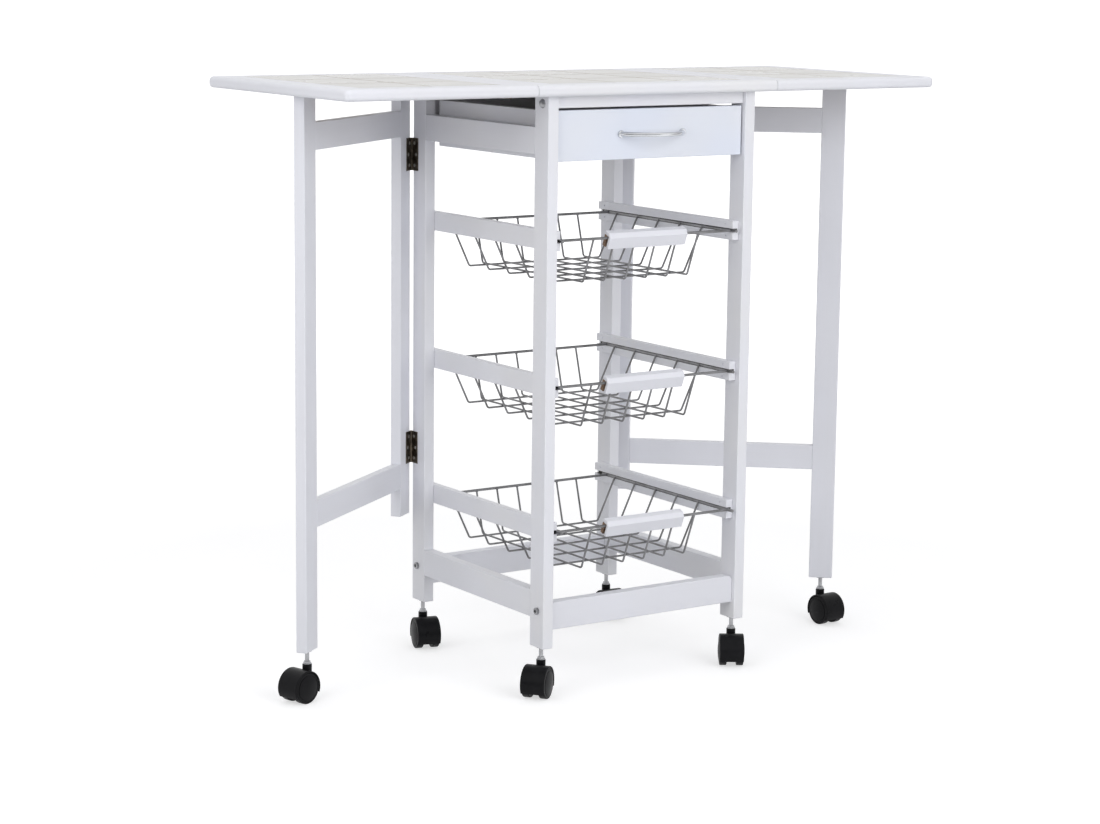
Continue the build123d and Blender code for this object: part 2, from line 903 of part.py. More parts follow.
def basket_grip():
    """The wooden grip that a slot seats on the front rim and its wires."""
    upper = -basket_depth + 3 * basket_wire_radius - weld_sink
    fall = rim_z - upper
    slant = hypot(front_lean, fall)
    down = Vector(0, front_lean / slant, -fall / slant)
    plane = Plane(origin=(-grip_width / 2, rim_front, rim_z), x_dir=-down, z_dir=(1, 0, 0))
    front = grip_front
    rear = grip_rear
    side = 1 if plane.y_dir.Y < 0 else -1
    outline = Polyline(
        (-grip_below_rim, side * front),
        (grip_above_rim - grip_bevel, side * front),
        (grip_above_rim, side * (front - grip_bevel)),
        (grip_above_rim, -side * rear),
        (-grip_below_rim, -side * rear),
        close=True,
    )
    body = extrude(plane * make_face(outline), amount=grip_width)
    body = fillet(body.edges(), 0.9)
    slot = rim_cross_radius + grip_slot_clearance
    cut = plane * (Pos(-grip_below_rim / 2 - 1, 0) * Rectangle(grip_below_rim + 2, 2 * slot))
    cut = extrude(cut, amount=grip_width + 2)
    cut = Pos(-1, 0, 0) * cut
    hole = rod((-grip_width / 2 - 1, rim_front, rim_z), (grip_width / 2 + 1, rim_front, rim_z), slot)
    return body - cut - hole


# ---- casters -------------------------------------------------------------

def caster_places():
    """Name, stem place and the height of what the stem goes up into."""
    places = []
    for name, side, y in leg_places():
        x, stem_y = leg_centre(side, y)
        places.append((name, x, stem_y, leg_bottom))
    for name, side in sides.items():
        x, y = gate_stem_place(side)
        places.append(("gate_" + name, x, y, gate_leg_bottom))
    return places


def stem(x, y, seat):
    """A steel stem with its collar under the leg and its flange nut."""
    foot = neck_top - stem_in_neck
    solid = rod((x, y, foot), (x, y, seat + stem_in_leg - stem_end_gap), stem_radius)
    solid += rod((x, y, seat - collar_height), (x, y, seat), collar_radius)
    flange = neck_top + flange_gap
    solid += rod((x, y, flange), (x, y, flange + flange_height), flange_radius)
    plane = Plane(origin=(x, y, flange + flange_height), z_dir=(0, 0, 1))
    nut = plane * RegularPolygon(nut_flats / 2, 6, major_radius=False)
    return solid + extrude(nut, amount=nut_height)


def hood_arc(radius, angle):
    """A point on a circle about the axle, seen from the side."""
    turn = radians(angle)
    return caster_trail + radius * cos(turn), wheel_radius + radius * sin(turn)


def hood_shell(inner, outer, half):
    """The curved cover over both wheels, its side edges rounded."""
    rear = hood_rear_degrees
    front = hood_front_degrees
    middle = (rear + front) / 2
    ring = Line(hood_arc(inner, rear), hood_arc(outer, rear))
    ring += ThreePointArc(hood_arc(outer, rear), hood_arc(outer, middle), hood_arc(outer, front))
    ring += Line(hood_arc(outer, front), hood_arc(inner, front))
    ring += ThreePointArc(hood_arc(inner, front), hood_arc(inner, middle), hood_arc(inner, rear))
    shell = extrude(Plane.XZ * make_face(ring), amount=half, both=True)
    arcs = shell.edges().filter_by(GeomType.CIRCLE).group_by(SortBy.RADIUS)[-1]
    return fillet(arcs, hood_edge)


def axle_disc(radius, half):
    """A disc about the axle, seen from the side as a circle."""
    return Pos(caster_trail, 0, wheel_radius) * Rot(90, 0, 0) * Cylinder(radius, 2 * half)


def caster_hood():
    """The swivelling body: a hood over both wheels, a web between, a neck."""
    inner = wheel_radius + hood_gap
    outer = inner + hood_wall
    half = wheel_split / 2 + wheel_width + hood_overlap
    web_half = wheel_split / 2 - web_gap
    low_web = axle_disc(inner + hood_wall / 3, web_half) & block(
        caster_trail - outer, caster_trail + web_rear_reach,
        -web_half, web_half, web_floor, wheel_radius + outer,
    )
    high_web = axle_disc(inner + hood_wall / 3, web_half) & block(
        caster_trail - outer, caster_trail + outer,
        -web_half, web_half, wheel_radius + web_step, wheel_radius + outer,
    )
    neck = rod((0, 0, wheel_radius + web_step), (0, 0, neck_top), neck_radius)
    clear = axle_disc(inner, half) - axle_disc(inner, web_half)
    solid = hood_shell(inner, outer, half) + low_web + high_web + (neck - clear)
    rim = solid.faces().sort_by(Axis.Z)[-1].edges()
    solid = fillet(rim, neck_ease)
    foot = neck_top - stem_in_neck - stem_end_gap
    solid -= rod((0, 0, foot), (0, 0, neck_top + 1), stem_radius + stem_fit)
    reach = wheel_split
    solid -= rod(
        (caster_trail, -reach, wheel_radius), (caster_trail, reach, wheel_radius), axle_radius + axle_fit
    )
    return solid


def wheel_blank():
    """A wheel on the Y axis: a rim, a ring groove and a crowned cap."""
    cap_radius = wheel_ring_radius - wheel_ring_width
    crown = wheel_cap_crown - wheel_cap_step
    ball = (cap_radius ** 2 + crown ** 2) / (2 * crown)
    half_way = cap_radius / 2
    step = wheel_width + wheel_cap_step
    top = wheel_width + wheel_cap_crown
    bore = axle_radius + axle_fit
    bore_end = axle_grip + axle_fit
    outline = Polyline(
        (bore, 0), (wheel_radius, 0), (wheel_radius, wheel_width),
        (wheel_ring_radius, wheel_width), (wheel_ring_radius, wheel_width - wheel_ring_depth),
        (cap_radius, wheel_width - wheel_ring_depth), (cap_radius, step),
    )
    outline += ThreePointArc(
        (cap_radius, step), (half_way, top - ball + sqrt(ball ** 2 - half_way ** 2)), (0, top)
    )
    outline += Polyline((0, top), (0, bore_end), (bore, bore_end), (bore, 0))
    wheel = revolve(make_face(outline), axis=Axis.Y)
    circles = wheel.edges().filter_by(GeomType.CIRCLE)
    rims = [edge for edge in circles if abs(edge.radius - wheel_radius) < 0.01]
    return fillet(rims, wheel_ease)


def caster_wheels():
    """Two wheels and the axle that joins them through the web."""
    blank = wheel_blank()
    inner = wheel_split / 2
    rear_wheel = Pos(caster_trail, inner, wheel_radius) * blank
    front_wheel = mirror(rear_wheel, about=Plane.XZ)
    tip = inner + axle_grip
    axle = rod((caster_trail, -tip, wheel_radius), (caster_trail, tip, wheel_radius), axle_radius)
    return [rear_wheel, front_wheel, axle]


# ---- the pieces ----------------------------------------------------------

for leg_name, leg_side, leg_front in leg_places():
    if leg_front > frame_front:
        write("leg_" + leg_name, [hinged_leg(leg_side, leg_front)])
    else:
        write("leg_" + leg_name, [leg(leg_side, leg_front)])

for side_name, side_sign in sides.items():
    upper = side_rail(side_sign, upper_rail_bottom, upper_rail_height)
    lower = side_rail(side_sign, bottom_side_rail_bottom, bottom_side_rail_height)
    write("upper_rail_" + side_name, [upper])
    write("bottom_rail_" + side_name, [lower])
    strips = [basket_runner(side_sign, centre) for centre in runner_centres]
    write("basket_runners_" + side_name, strips)

front_faces = (cross_front, cross_front + cross_thickness)
rear_faces = (cross_rear - cross_thickness, cross_rear)
write("apron_front", [cross_rail(*front_faces, apron_front_bottom, apron_front_height)])
write("apron_rear", [cross_rail(*rear_faces, apron_rear_bottom, apron_rear_height)])
write("bottom_rail_front", [bottom_cross_rail(*front_faces)])
write("bottom_rail_rear", [bottom_cross_rail(*rear_faces)])
write("drawer_runners", [drawer_runner(side_sign) for side_sign in sides.values()])
write("frame_bolts", [bolt(*place) for place in bolt_places()])

write("top_frame", [top_board()])
write("top_tiles", tiles(centre_first_x(), centre_columns))
write("leaf_hinge_fixed_plates", flap_plates(-1, -1) + flap_plates(1, -1))
write("gate_hinge_fixed_plates", fixed_hinge_plates())

left_tiles = tiles(leaf_first_x(), leaf_columns)
for side_name, side_sign in sides.items():
    write("leaf_" + side_name + "_frame", [leaf_board(side_sign)])
    write("leaf_" + side_name + "_tiles", [on_side(one, side_sign) for one in left_tiles])
    write("leaf_" + side_name + "_hinge_plates", flap_plates(side_sign, 1))
    write("gate_" + side_name + "_outer_leg", [gate_outer_leg(side_sign)])
    write("gate_" + side_name + "_inner_post", [gate_inner_post(side_sign)])
    rails = [gate_rail(side_sign, gate_top_rail_bottom), gate_rail(side_sign, gate_bottom_rail_bottom)]
    write("gate_" + side_name + "_rails", rails)
    write("gate_" + side_name + "_hinge_plates", gate_hinge_plates(side_sign))

write("drawer_front", [drawer_front()])
write("drawer_sides", [drawer_side(side_sign) for side_sign in sides.values()])
write("drawer_back", [drawer_back()])
write("drawer_bottom", [drawer_bottom()])
write("drawer_handle", [drawer_handle()])

wires = basket_wires()
grip = basket_grip()
for basket_name, centre, forward in zip(basket_names, runner_centres, basket_forward):
    place = Pos(0, -forward, centre)
    write("basket_" + basket_name + "_wires", [place * wires])
    write("basket_" + basket_name + "_grip", [place * grip])

hood = caster_hood()
wheels = caster_wheels()
frame_stems = []
for caster_name, stem_x, stem_y, seat in caster_places():
    place = Pos(stem_x, stem_y, 0) * Rot(0, 0, trail_directions[caster_name])
    write("caster_" + caster_name + "_hood", [place * hood])
    write("caster_" + caster_name + "_wheels", [place * wheel for wheel in wheels])
    if caster_name.startswith("gate_"):
        write(caster_name + "_caster_stem", [stem(stem_x, stem_y, seat)])
    else:
        frame_stems.append(stem(stem_x, stem_y, seat))
write("frame_caster_stems", frame_stems)
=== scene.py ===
"""Dresses the drop-leaf kitchen cart: paint, glazed tiles, plated steel, hinges and casters.

Lengths are metres in the cart's own frame: +X to the right, +Y to the back, +Z up,
with the origin on the floor under the middle of the cart.
"""
from __future__ import annotations

import logging
from abc import ABC, abstractmethod
from dataclasses import dataclass, field
from enum import Enum, auto
from math import atan2, cos, pi, radians, sin

import bmesh
import bpy
from mathutils import Matrix, Vector


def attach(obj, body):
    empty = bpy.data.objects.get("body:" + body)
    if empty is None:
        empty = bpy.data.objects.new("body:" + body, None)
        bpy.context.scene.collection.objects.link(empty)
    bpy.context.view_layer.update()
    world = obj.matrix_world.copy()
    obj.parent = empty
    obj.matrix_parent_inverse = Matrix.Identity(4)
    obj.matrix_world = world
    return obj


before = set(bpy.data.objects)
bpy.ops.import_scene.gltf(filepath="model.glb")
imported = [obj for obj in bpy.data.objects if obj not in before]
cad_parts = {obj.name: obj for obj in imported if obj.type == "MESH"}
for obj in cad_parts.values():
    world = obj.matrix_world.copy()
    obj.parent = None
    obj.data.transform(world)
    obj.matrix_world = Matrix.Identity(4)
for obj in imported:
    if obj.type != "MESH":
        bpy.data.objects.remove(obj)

Colour = tuple[float, float, float]
Point = tuple[float, float, float]
Material = bpy.types.Material
Socket = bpy.types.NodeSocket
Value = float | tuple[float, ...] | Socket
Look = tuple[Value, Value, Socket]
"""A colour, a roughness and a surface normal."""

log = logging.getLogger("kitchen_cart")


class Grain(Enum):
    """Which way the wood's grain runs under the paint, in the order X, Y, Z."""

    ACROSS = "across"
    DEEP = "deep"
    UPRIGHT = "upright"


class Place(Enum):
    """A place on the cart whose name is part of its pieces' names."""

    @property
    def word(self) -> str:
        """The name as the cart's pieces use it."""
        return self.name.lower()


class Side(Place):
    """The cart's two ends, as the sign of X."""

    LEFT = -1
    RIGHT = 1


class Level(Place):
    """The three wire baskets, with their runners' heights and forward shifts in metres."""

    TOP = (0.5846, 0.0)
    MIDDLE = (0.3988, 0.0)
    BOTTOM = (0.2130, 0.005)

    @property
    def height(self) -> float:
        """The height of the middle of the basket's runners."""
        return self.value[0]

    @property
    def forward(self) -> float:
        """How far the basket stands forward of its middle place."""
        return self.value[1]


class CasterPlace(Place):
    """Where each caster stands."""

    FRONT_LEFT = auto()
    FRONT_RIGHT = auto()
    REAR_LEFT = auto()
    REAR_RIGHT = auto()
    GATE_LEFT = auto()
    GATE_RIGHT = auto()


# ---- node graphs ----


class Graph:
    """A material's node tree while it is being built."""

    def __init__(self, name: str) -> None:
        """Starts an empty tree with its output.

        Args:
            name: The material's name.
        """
        self.material = bpy.data.materials.new(name)
        self.material.use_nodes = True
        self.tree = self.material.node_tree
        self.tree.nodes.clear()
        self.output = self.tree.nodes.new("ShaderNodeOutputMaterial")

    def node(self, kind: str, inputs: dict[str | int, Value], **settings: object) -> bpy.types.Node:
        """Adds a node, sets its options and fills its inputs.

        Args:
            kind: The node's type in Blender.
            inputs: A number, colour or socket for each named or numbered input.
            **settings: The node's own options.

        Returns:
            The new node.
        """
        made = self.tree.nodes.new(kind)
        for option, choice in settings.items():
            setattr(made, option, choice)
        for key, value in inputs.items():
            if isinstance(value, Socket):
                self.tree.links.new(value, made.inputs[key])
            else:
                made.inputs[key].default_value = value
        return made

    def place(self) -> Socket:
        """The point of the piece in the cart's frame at rest."""
        return self.node("ShaderNodeTexCoord", {}).outputs["Object"]

    def math(self, operation: str, first: Value, second: Value = 0.0) -> Socket:
        """One step of arithmetic.

        Args:
            operation: The step's name in Blender.
            first: The first value.
            second: The second value, where the step has one.

        Returns:
            The answer.
        """
        return self.node("ShaderNodeMath", {0: first, 1: second}, operation=operation).outputs[0]

    def apart(self, first: Value, second: Value) -> Socket:
        """How far two values are apart.

        Args:
            first: The first value.
            second: The second value.

        Returns:
            The distance.
        """
        return self.math("ABSOLUTE", self.math("SUBTRACT", first, second))

    def vector(self, operation: str, first: Value, second: Value = (0.0, 0.0, 0.0)) -> Socket:
        """One step of arithmetic with points.

        Args:
            operation: The step's name in Blender.
            first: The first point.
            second: The second point, where the step has one.

        Returns:
            The answer, a number for a length or a dot product and otherwise a point.
        """
        made = self.node("ShaderNodeVectorMath", {0: first, 1: second}, operation=operation)
        return made.outputs["Value" if operation in ("LENGTH", "DOT_PRODUCT") else "Vector"]

    def axes(self, vector: Value) -> tuple[Socket, Socket, Socket]:
        """Splits a point.

        Args:
            vector: The point.

        Returns:
            Its X, Y and Z.
        """
        parts = self.node("ShaderNodeSeparateXYZ", {0: vector}).outputs
        return parts[0], parts[1], parts[2]

    def stretched(self, vector: Value, scale: Point, turn: float = 0.0) -> Socket:
        """Turns a point about the upright axis, then scales each axis.

        Args:
            vector: The point to move.
            scale: The scale along each axis.
            turn: The turn in degrees.

        Returns:
            The moved point.
        """
        inputs = {"Vector": vector, "Angle": radians(turn)}
        turned = self.node("ShaderNodeVectorRotate", inputs, rotation_type="Z_AXIS").outputs[0]
        return self.vector("MULTIPLY", turned, scale)

    def noise(self, vector: Value, scale: float, detail: float = 3.0, rough: float = 0.5) -> Socket:
        """A cloudy value from 0 to 1.

        Args:
            vector: The point it is read at.
            scale: Clouds per metre.
            detail: How many finer layers it has.
            rough: How strong the finer layers are.

        Returns:
            The value.
        """
        inputs = {"Vector": vector, "Scale": scale, "Detail": detail, "Roughness": rough}
        return self.node("ShaderNodeTexNoise", inputs).outputs[0]

    def span(self, value: Value, low: float, high: float, first: float, last: float) -> Socket:
        """Spreads a value from one range onto another and keeps it there.

        Args:
            value: The value.
            low: The value that becomes first.
            high: The value that becomes last.
            first: The new range's start.
            last: The new range's end.

        Returns:
            The value in the new range.
        """
        inputs = {"Value": value, "From Min": low, "From Max": high, "To Min": first, "To Max": last}
        return self.node("ShaderNodeMapRange", inputs).outputs[0]

    def mixed(self, share: Value, first: Value, second: Value) -> Socket:
        """A colour between two colours.

        Args:
            share: How much of the second colour there is.
            first: The first colour.
            second: The second colour.

        Returns:
            The colour.
        """
        ends = [end if isinstance(end, Socket) else (*end[:3], 1.0) for end in (first, second)]
        return self.node("ShaderNodeMix", {0: share, 6: ends[0], 7: ends[1]}, data_type="RGBA").outputs[2]

    def bump(self, height: Value, depth: float, strength: float, under: Socket | None = None) -> Socket:
        """A surface normal that follows a height.

        Args:
            height: The height from 0 to 1.
            depth: How many metres a height of 1 stands for.
            strength: How much of it shows.
            under: A normal that this one is laid over.

        Returns:
            The normal.
        """
        inputs: dict[str | int, Value] = {"Height": height, "Distance": depth, "Strength": strength}
        if under is not None:
            inputs["Normal"] = under
        return self.node("ShaderNodeBump", inputs).outputs[0]

    def close(self, colour: Value, roughness: Value, normal: Socket, **fixed: float) -> Material:
        """Ends the tree in a surface shader.

        Args:
            colour: The base colour.
            roughness: The roughness.
            normal: The surface normal.
            **fixed: Values that are the same all over, by the shader's socket names with _ for spaces.

        Returns:
            The finished material.
        """
        inputs = {"Roughness": roughness, "Normal": normal, "Base Color": colour}
        shader = self.node("ShaderNodeBsdfPrincipled", inputs)
        for key, value in fixed.items():
            shader.inputs[key.replace("_", " ")].default_value = value
        self.tree.links.new(shader.outputs[0], self.output.inputs[0])
        return self.material


# ---- finishes ----


class Finish(ABC):
    """A finish that becomes one material, however many pieces wear it."""

    @abstractmethod
    def name(self) -> str:
        """The material's name."""

    @abstractmethod
    def shade(self, graph: Graph) -> Material:
        """Draws the finish.

        Args:
            graph: The tree to build in.

        Returns:
            The finished material.
        """

    def material(self) -> Material:
        """The finish as a material, made once."""
        return bpy.data.materials.get(self.name()) or self.shade(Graph(self.name()))


@dataclass(frozen=True)
class PaintedWood(Finish):
    """Satin white paint over wood whose grain still shows a little."""

    grain: Grain = Grain.UPRIGHT
    turn: float = 0.0
    white: Colour = (0.79, 0.797, 0.85)
    worn: Colour = (0.715, 0.715, 0.75)
    # Edge colour: worn paint, and a painted highlight along convex edges.
    edge_wear_and_highlight: Colour = (0.84, 0.835, 0.82)
    roughness: float = 0.42
    drawn_out: float = 0.045
    fibre_scale: float = 420.0
    board_scale: float = 46.0
    cloud_scale: float = 7.0
    brush_scale: float = 900.0
    grain_depth: float = 0.00009
    brush_depth: float = 0.00003
    label: str = "white_paint"

    def name(self) -> str:
        """The material's name."""
        return f"{self.label}_{self.grain.value}_{round(self.turn * 10)}"

    def stretch(self) -> Point:
        """How the grain is drawn out along the board."""
        along = list(Grain).index(self.grain)
        return tuple(self.drawn_out if axis == along else 1.0 for axis in range(3))

    def surface(self, graph: Graph) -> Look:
        """Draws the paint.

        Args:
            graph: The tree to build in.

        Returns:
            The look.
        """
        place = graph.place()
        drawn = graph.stretched(place, self.stretch(), -self.turn)
        fibre = graph.noise(drawn, self.fibre_scale, 4.0, 0.6)
        broad = graph.noise(drawn, self.board_scale)
        cloud = graph.noise(place, self.cloud_scale, 2.0)
        brush = graph.noise(place, self.brush_scale, 2.0)
        colour = graph.mixed(graph.span(cloud, 0.3, 0.75, 0.0, 0.35), self.white, self.worn)
        colour = graph.mixed(graph.span(broad, 0.5, 0.8, 0.0, 0.22), colour, self.worn)
        colour = graph.mixed(graph.span(fibre, 0.58, 0.85, 0.0, 0.30), colour, self.worn)
        # Convex edges turn lighter and warmer: worn paint, and a painted highlight along the edges.
        edge = graph.node("ShaderNodeNewGeometry", {}).outputs["Pointiness"]
        sharp = graph.span(edge, 0.52, 0.62, 0.0, 0.5)
        patchy = graph.span(cloud, 0.4, 0.7, 0.2, 1.0)
        colour = graph.mixed(graph.math("MULTIPLY", sharp, patchy), colour, self.edge_wear_and_highlight)
        uneven = graph.math("ADD", fibre, cloud)
        roughness = graph.span(uneven, 0.7, 1.3, self.roughness - 0.05, self.roughness + 0.10)
        ridges = graph.math("ADD", fibre, graph.math("MULTIPLY", broad, 0.6))
        normal = graph.bump(ridges, self.grain_depth, 0.55)
        return colour, roughness, graph.bump(brush, self.brush_depth, 0.35, normal)

    def shade(self, graph: Graph) -> Material:
        """Draws the paint and ends the tree.

        Args:
            graph: The tree to build in.

        Returns:
            The finished material.
        """
        look = self.surface(graph)
        return graph.close(*look, Coat_Weight=0.12, Coat_Roughness=0.28, Specular_IOR_Level=0.45)


@dataclass(frozen=True)
class TileField:
    """Where a field of square tiles lies."""

    middle_x: float
    middle_y: float = 0.006
    columns: int = 3
    rows: int = 3
    pitch: float = 0.1
    joint: float = 0.002
    slack: float = 0.0002

    def half(self) -> tuple[float, float]:
        """Half the field's length and depth, out to the outer tiles' edges."""
        return (self.columns * self.pitch - self.joint) / 2, (self.rows * self.pitch - self.joint) / 2

    def inside(self, graph: Graph, vector: Value) -> Socket:
        """One inside the field, zero outside it.

        Args:
            graph: The tree to build in.
            vector: The point on the top.

        Returns:
            The mask.
        """
        x, y, _ = graph.axes(vector)
        half_x, half_y = self.half()
        in_x = graph.math("LESS_THAN", graph.apart(x, self.middle_x), half_x + self.slack)
        in_y = graph.math("LESS_THAN", graph.apart(y, self.middle_y), half_y + self.slack)
        return graph.math("MULTIPLY", in_x, in_y)


@dataclass(frozen=True)
class GroutedBoard(PaintedWood):
    """The painted board round the tiles, with sandy grout inside the field."""

    tiles: TileField = TileField(0.0)
    grout: Colour = (0.52, 0.475, 0.42)
    stained: Colour = (0.40, 0.36, 0.31)
    sandy: Colour = (0.64, 0.60, 0.55)
    sand_scale: float = 2600.0
    sand_depth: float = 0.00012
    stain_scale: float = 38.0
    grout_roughness: float = 0.9

    def name(self) -> str:
        """The material's name."""
        return f"white_paint_and_grout_{round(self.tiles.middle_x * 1000)}"

    def surface(self, graph: Graph) -> Look:
        """Draws the paint and the grout.

        Args:
            graph: The tree to build in.

        Returns:
            The look.
        """
        colour, roughness, normal = super().surface(graph)
        place = graph.place()
        mask = self.tiles.inside(graph, place)
        sand = graph.noise(place, self.sand_scale, 3.0, 0.65)
        darkening = graph.noise(place, self.stain_scale, 2.0)
        grout = graph.mixed(graph.span(darkening, 0.3, 0.7, 0.0, 0.5), self.grout, self.stained)
        grout = graph.mixed(graph.span(sand, 0.4, 0.7, 0.0, 0.4), grout, self.sandy)
        colour = graph.mixed(mask, colour, grout)
        roughness = graph.math("MAXIMUM", roughness, graph.math("MULTIPLY", mask, self.grout_roughness))
        grains = graph.math("MULTIPLY", sand, mask)
        return colour, roughness, graph.bump(grains, self.sand_depth, 0.6, normal)


@dataclass(frozen=True)
class GlazedTile(Finish):
    """Glazed ceramic, each tile a shade of its own, darkened to brown along its rim next to the joints."""

    tiles: TileField
    glaze: Colour = (0.585, 0.577, 0.56)
    deep: Colour = (0.525, 0.512, 0.49)
    fleck: Colour = (0.44, 0.41, 0.37)
    darkening: Colour = (0.34, 0.285, 0.235)
    rim: float = 0.0008
    rim_fade: float = 0.0005
    rim_ragged: float = 0.0004
    roughness: float = 0.24
    cloud_scale: float = 24.0
    fleck_scale: float = 420.0
    wave_scale: float = 13.0
    wave_depth: float = 0.0002
    peel_scale: float = 180.0
    peel_depth: float = 0.000008

    def name(self) -> str:
        """The material's name."""
        return f"glazed_tile_{round(self.tiles.middle_x * 1000)}"

    def cells(self, graph: Graph, place: Socket) -> tuple[Socket, Socket]:
        """Splits the field into its tiles.

        Args:
            graph: The tree to build in.
            place: The point on the top.

        Returns:
            A point that differs from tile to tile, and how far the edge of the tile's share is.
        """
        tiles = self.tiles
        left = tiles.middle_x - tiles.columns * tiles.pitch / 2
        front = tiles.middle_y - tiles.rows * tiles.pitch / 2
        moved = graph.vector("SUBTRACT", place, (left, front, 0.0))
        steps = graph.vector("MULTIPLY", moved, (1 / tiles.pitch, 1 / tiles.pitch, 0.0))
        part_x, part_y, _ = graph.axes(graph.vector("FRACTION", steps))
        near_x = graph.math("SUBTRACT", 0.5, graph.apart(part_x, 0.5))
        near_y = graph.math("SUBTRACT", 0.5, graph.apart(part_y, 0.5))
        edge = graph.math("MULTIPLY", graph.math("MINIMUM", near_x, near_y), tiles.pitch)
        return graph.vector("FLOOR", steps), edge

    def shade(self, graph: Graph) -> Material:
        """Draws the glaze.

        Args:
            graph: The tree to build in.

        Returns:
            The finished material.
        """
        place = graph.place()
        cell, edge = self.cells(graph, place)
        own = graph.node("ShaderNodeTexWhiteNoise", {"Vector": cell}, noise_dimensions="3D")
        cloud = graph.noise(place, self.cloud_scale, 3.0, 0.55)
        dots = {"Vector": place, "Scale": self.fleck_scale}
        fleck = graph.node("ShaderNodeTexVoronoi", dots).outputs["Distance"]
        clouded = graph.span(cloud, 0.35, 0.7, 0.0, 0.35)
        share = graph.math("ADD", graph.math("MULTIPLY", own.outputs[0], 0.45), clouded)
        colour = graph.mixed(share, self.glaze, self.deep)
        colour = graph.mixed(graph.span(fleck, 0.0, 0.16, 0.12, 0.0), colour, self.fleck)
        # Each tile turns dark brown along its rim, next to the joints.
        glazed_from = self.tiles.joint / 2 + self.rim
        ragged = graph.math("MULTIPLY", graph.noise(place, 150.0, 2.0), self.rim_ragged)
        ragged = graph.math("ADD", edge, ragged)
        on_rim = graph.span(ragged, glazed_from, glazed_from + self.rim_fade, 1.0, 0.0)
        colour = graph.mixed(on_rim, colour, self.darkening)
        own_roughness = graph.math("MULTIPLY", graph.axes(own.outputs[1])[0], 0.05)
        patchy = graph.span(cloud, 0.3, 0.7, self.roughness, self.roughness + 0.06)
        roughness = graph.math("ADD", patchy, own_roughness)
        normal = graph.bump(graph.noise(place, self.wave_scale, 1.0, 0.4), self.wave_depth, 0.35)
        normal = graph.bump(graph.noise(place, self.peel_scale, 2.0, 0.4), self.peel_depth, 0.5, normal)
        look = (colour, roughness, normal)
        return graph.close(*look, Coat_Weight=0.2, Coat_Roughness=0.12, Specular_IOR_Level=0.35)


@dataclass(frozen=True)
class PaintedGrip(PaintedWood):
    """A painted grip whose slot for the rim wire is bare wood, also where it shows at the ends."""

    half_length: float = 0.061
    half_slot: float = 0.00205
    lean: float = 21.5
    wire_y: float = -0.145
    wire_z: float = 0.5845
    skin: float = 0.0002
    ragged: float = 0.0022
    bare_top: tuple[float, float] = (0.0022, 0.0030)
    bare_front: tuple[float, float] = (-0.0024, -0.0016)
    bare: Colour = (0.33, 0.215, 0.14)
    dark: Colour = (0.115, 0.07, 0.045)

    def name(self) -> str:
        """The material's name."""
        return f"white_grip_at_{round(self.wire_z * 1000)}"

    def bare_parts(self, graph: Graph, place: Socket) -> Socket:
        """One where the paint is missing, zero where it covers the wood.

        Args:
            graph: The tree to build in.
            place: The point of the grip.

        Returns:
            The mask.
        """
        centre = (0.0, self.wire_y, self.wire_z)
        inputs = {"Vector": place, "Center": centre, "Angle": -radians(self.lean)}
        leaning = graph.node("ShaderNodeVectorRotate", inputs, rotation_type="X_AXIS").outputs[0]
        x, y, z = graph.axes(leaning)
        back = graph.math("SUBTRACT", y, self.wire_y)
        over = graph.math("SUBTRACT", z, self.wire_z)
        torn = graph.math("SUBTRACT", graph.noise(place, self.fibre_scale, 3.0, 0.6), 0.5)
        torn = graph.math("MULTIPLY", torn, self.ragged)
        past = graph.math("SUBTRACT", graph.math("ABSOLUTE", x), self.half_length)
        beyond = graph.span(past, -self.skin, 0.0, 0.0, 1.0)
        below = graph.span(graph.math("ADD", over, torn), *self.bare_top, 1.0, 0.0)
        behind = graph.span(graph.math("ADD", back, torn), *self.bare_front, 0.0, 1.0)
        end = graph.math("MULTIPLY", beyond, graph.math("MULTIPLY", below, behind))
        wall = graph.math("LESS_THAN", graph.math("ABSOLUTE", back), self.half_slot)
        slot = graph.math("MULTIPLY", wall, graph.math("LESS_THAN", over, self.half_slot))
        return graph.math("MAXIMUM", end, slot)

    def surface(self, graph: Graph) -> Look:
        """Draws the paint and the bare wood.

        Args:
            graph: The tree to build in.

        Returns:
            The look.
        """
        colour, roughness, normal = super().surface(graph)
        place = graph.place()
        mask = self.bare_parts(graph, place)
        rings = graph.noise(graph.stretched(place, (0.1, 1.0, 0.35)), 700.0, 3.0, 0.6)
        wood = graph.mixed(graph.span(rings, 0.35, 0.7, 0.0, 1.0), self.bare, self.dark)
        colour = graph.mixed(mask, colour, wood)
        roughness = graph.math("MAXIMUM", roughness, graph.math("MULTIPLY", mask, 0.8))
        return colour, roughness, graph.bump(graph.math("MULTIPLY", rings, mask), 0.0002, 0.6, normal)


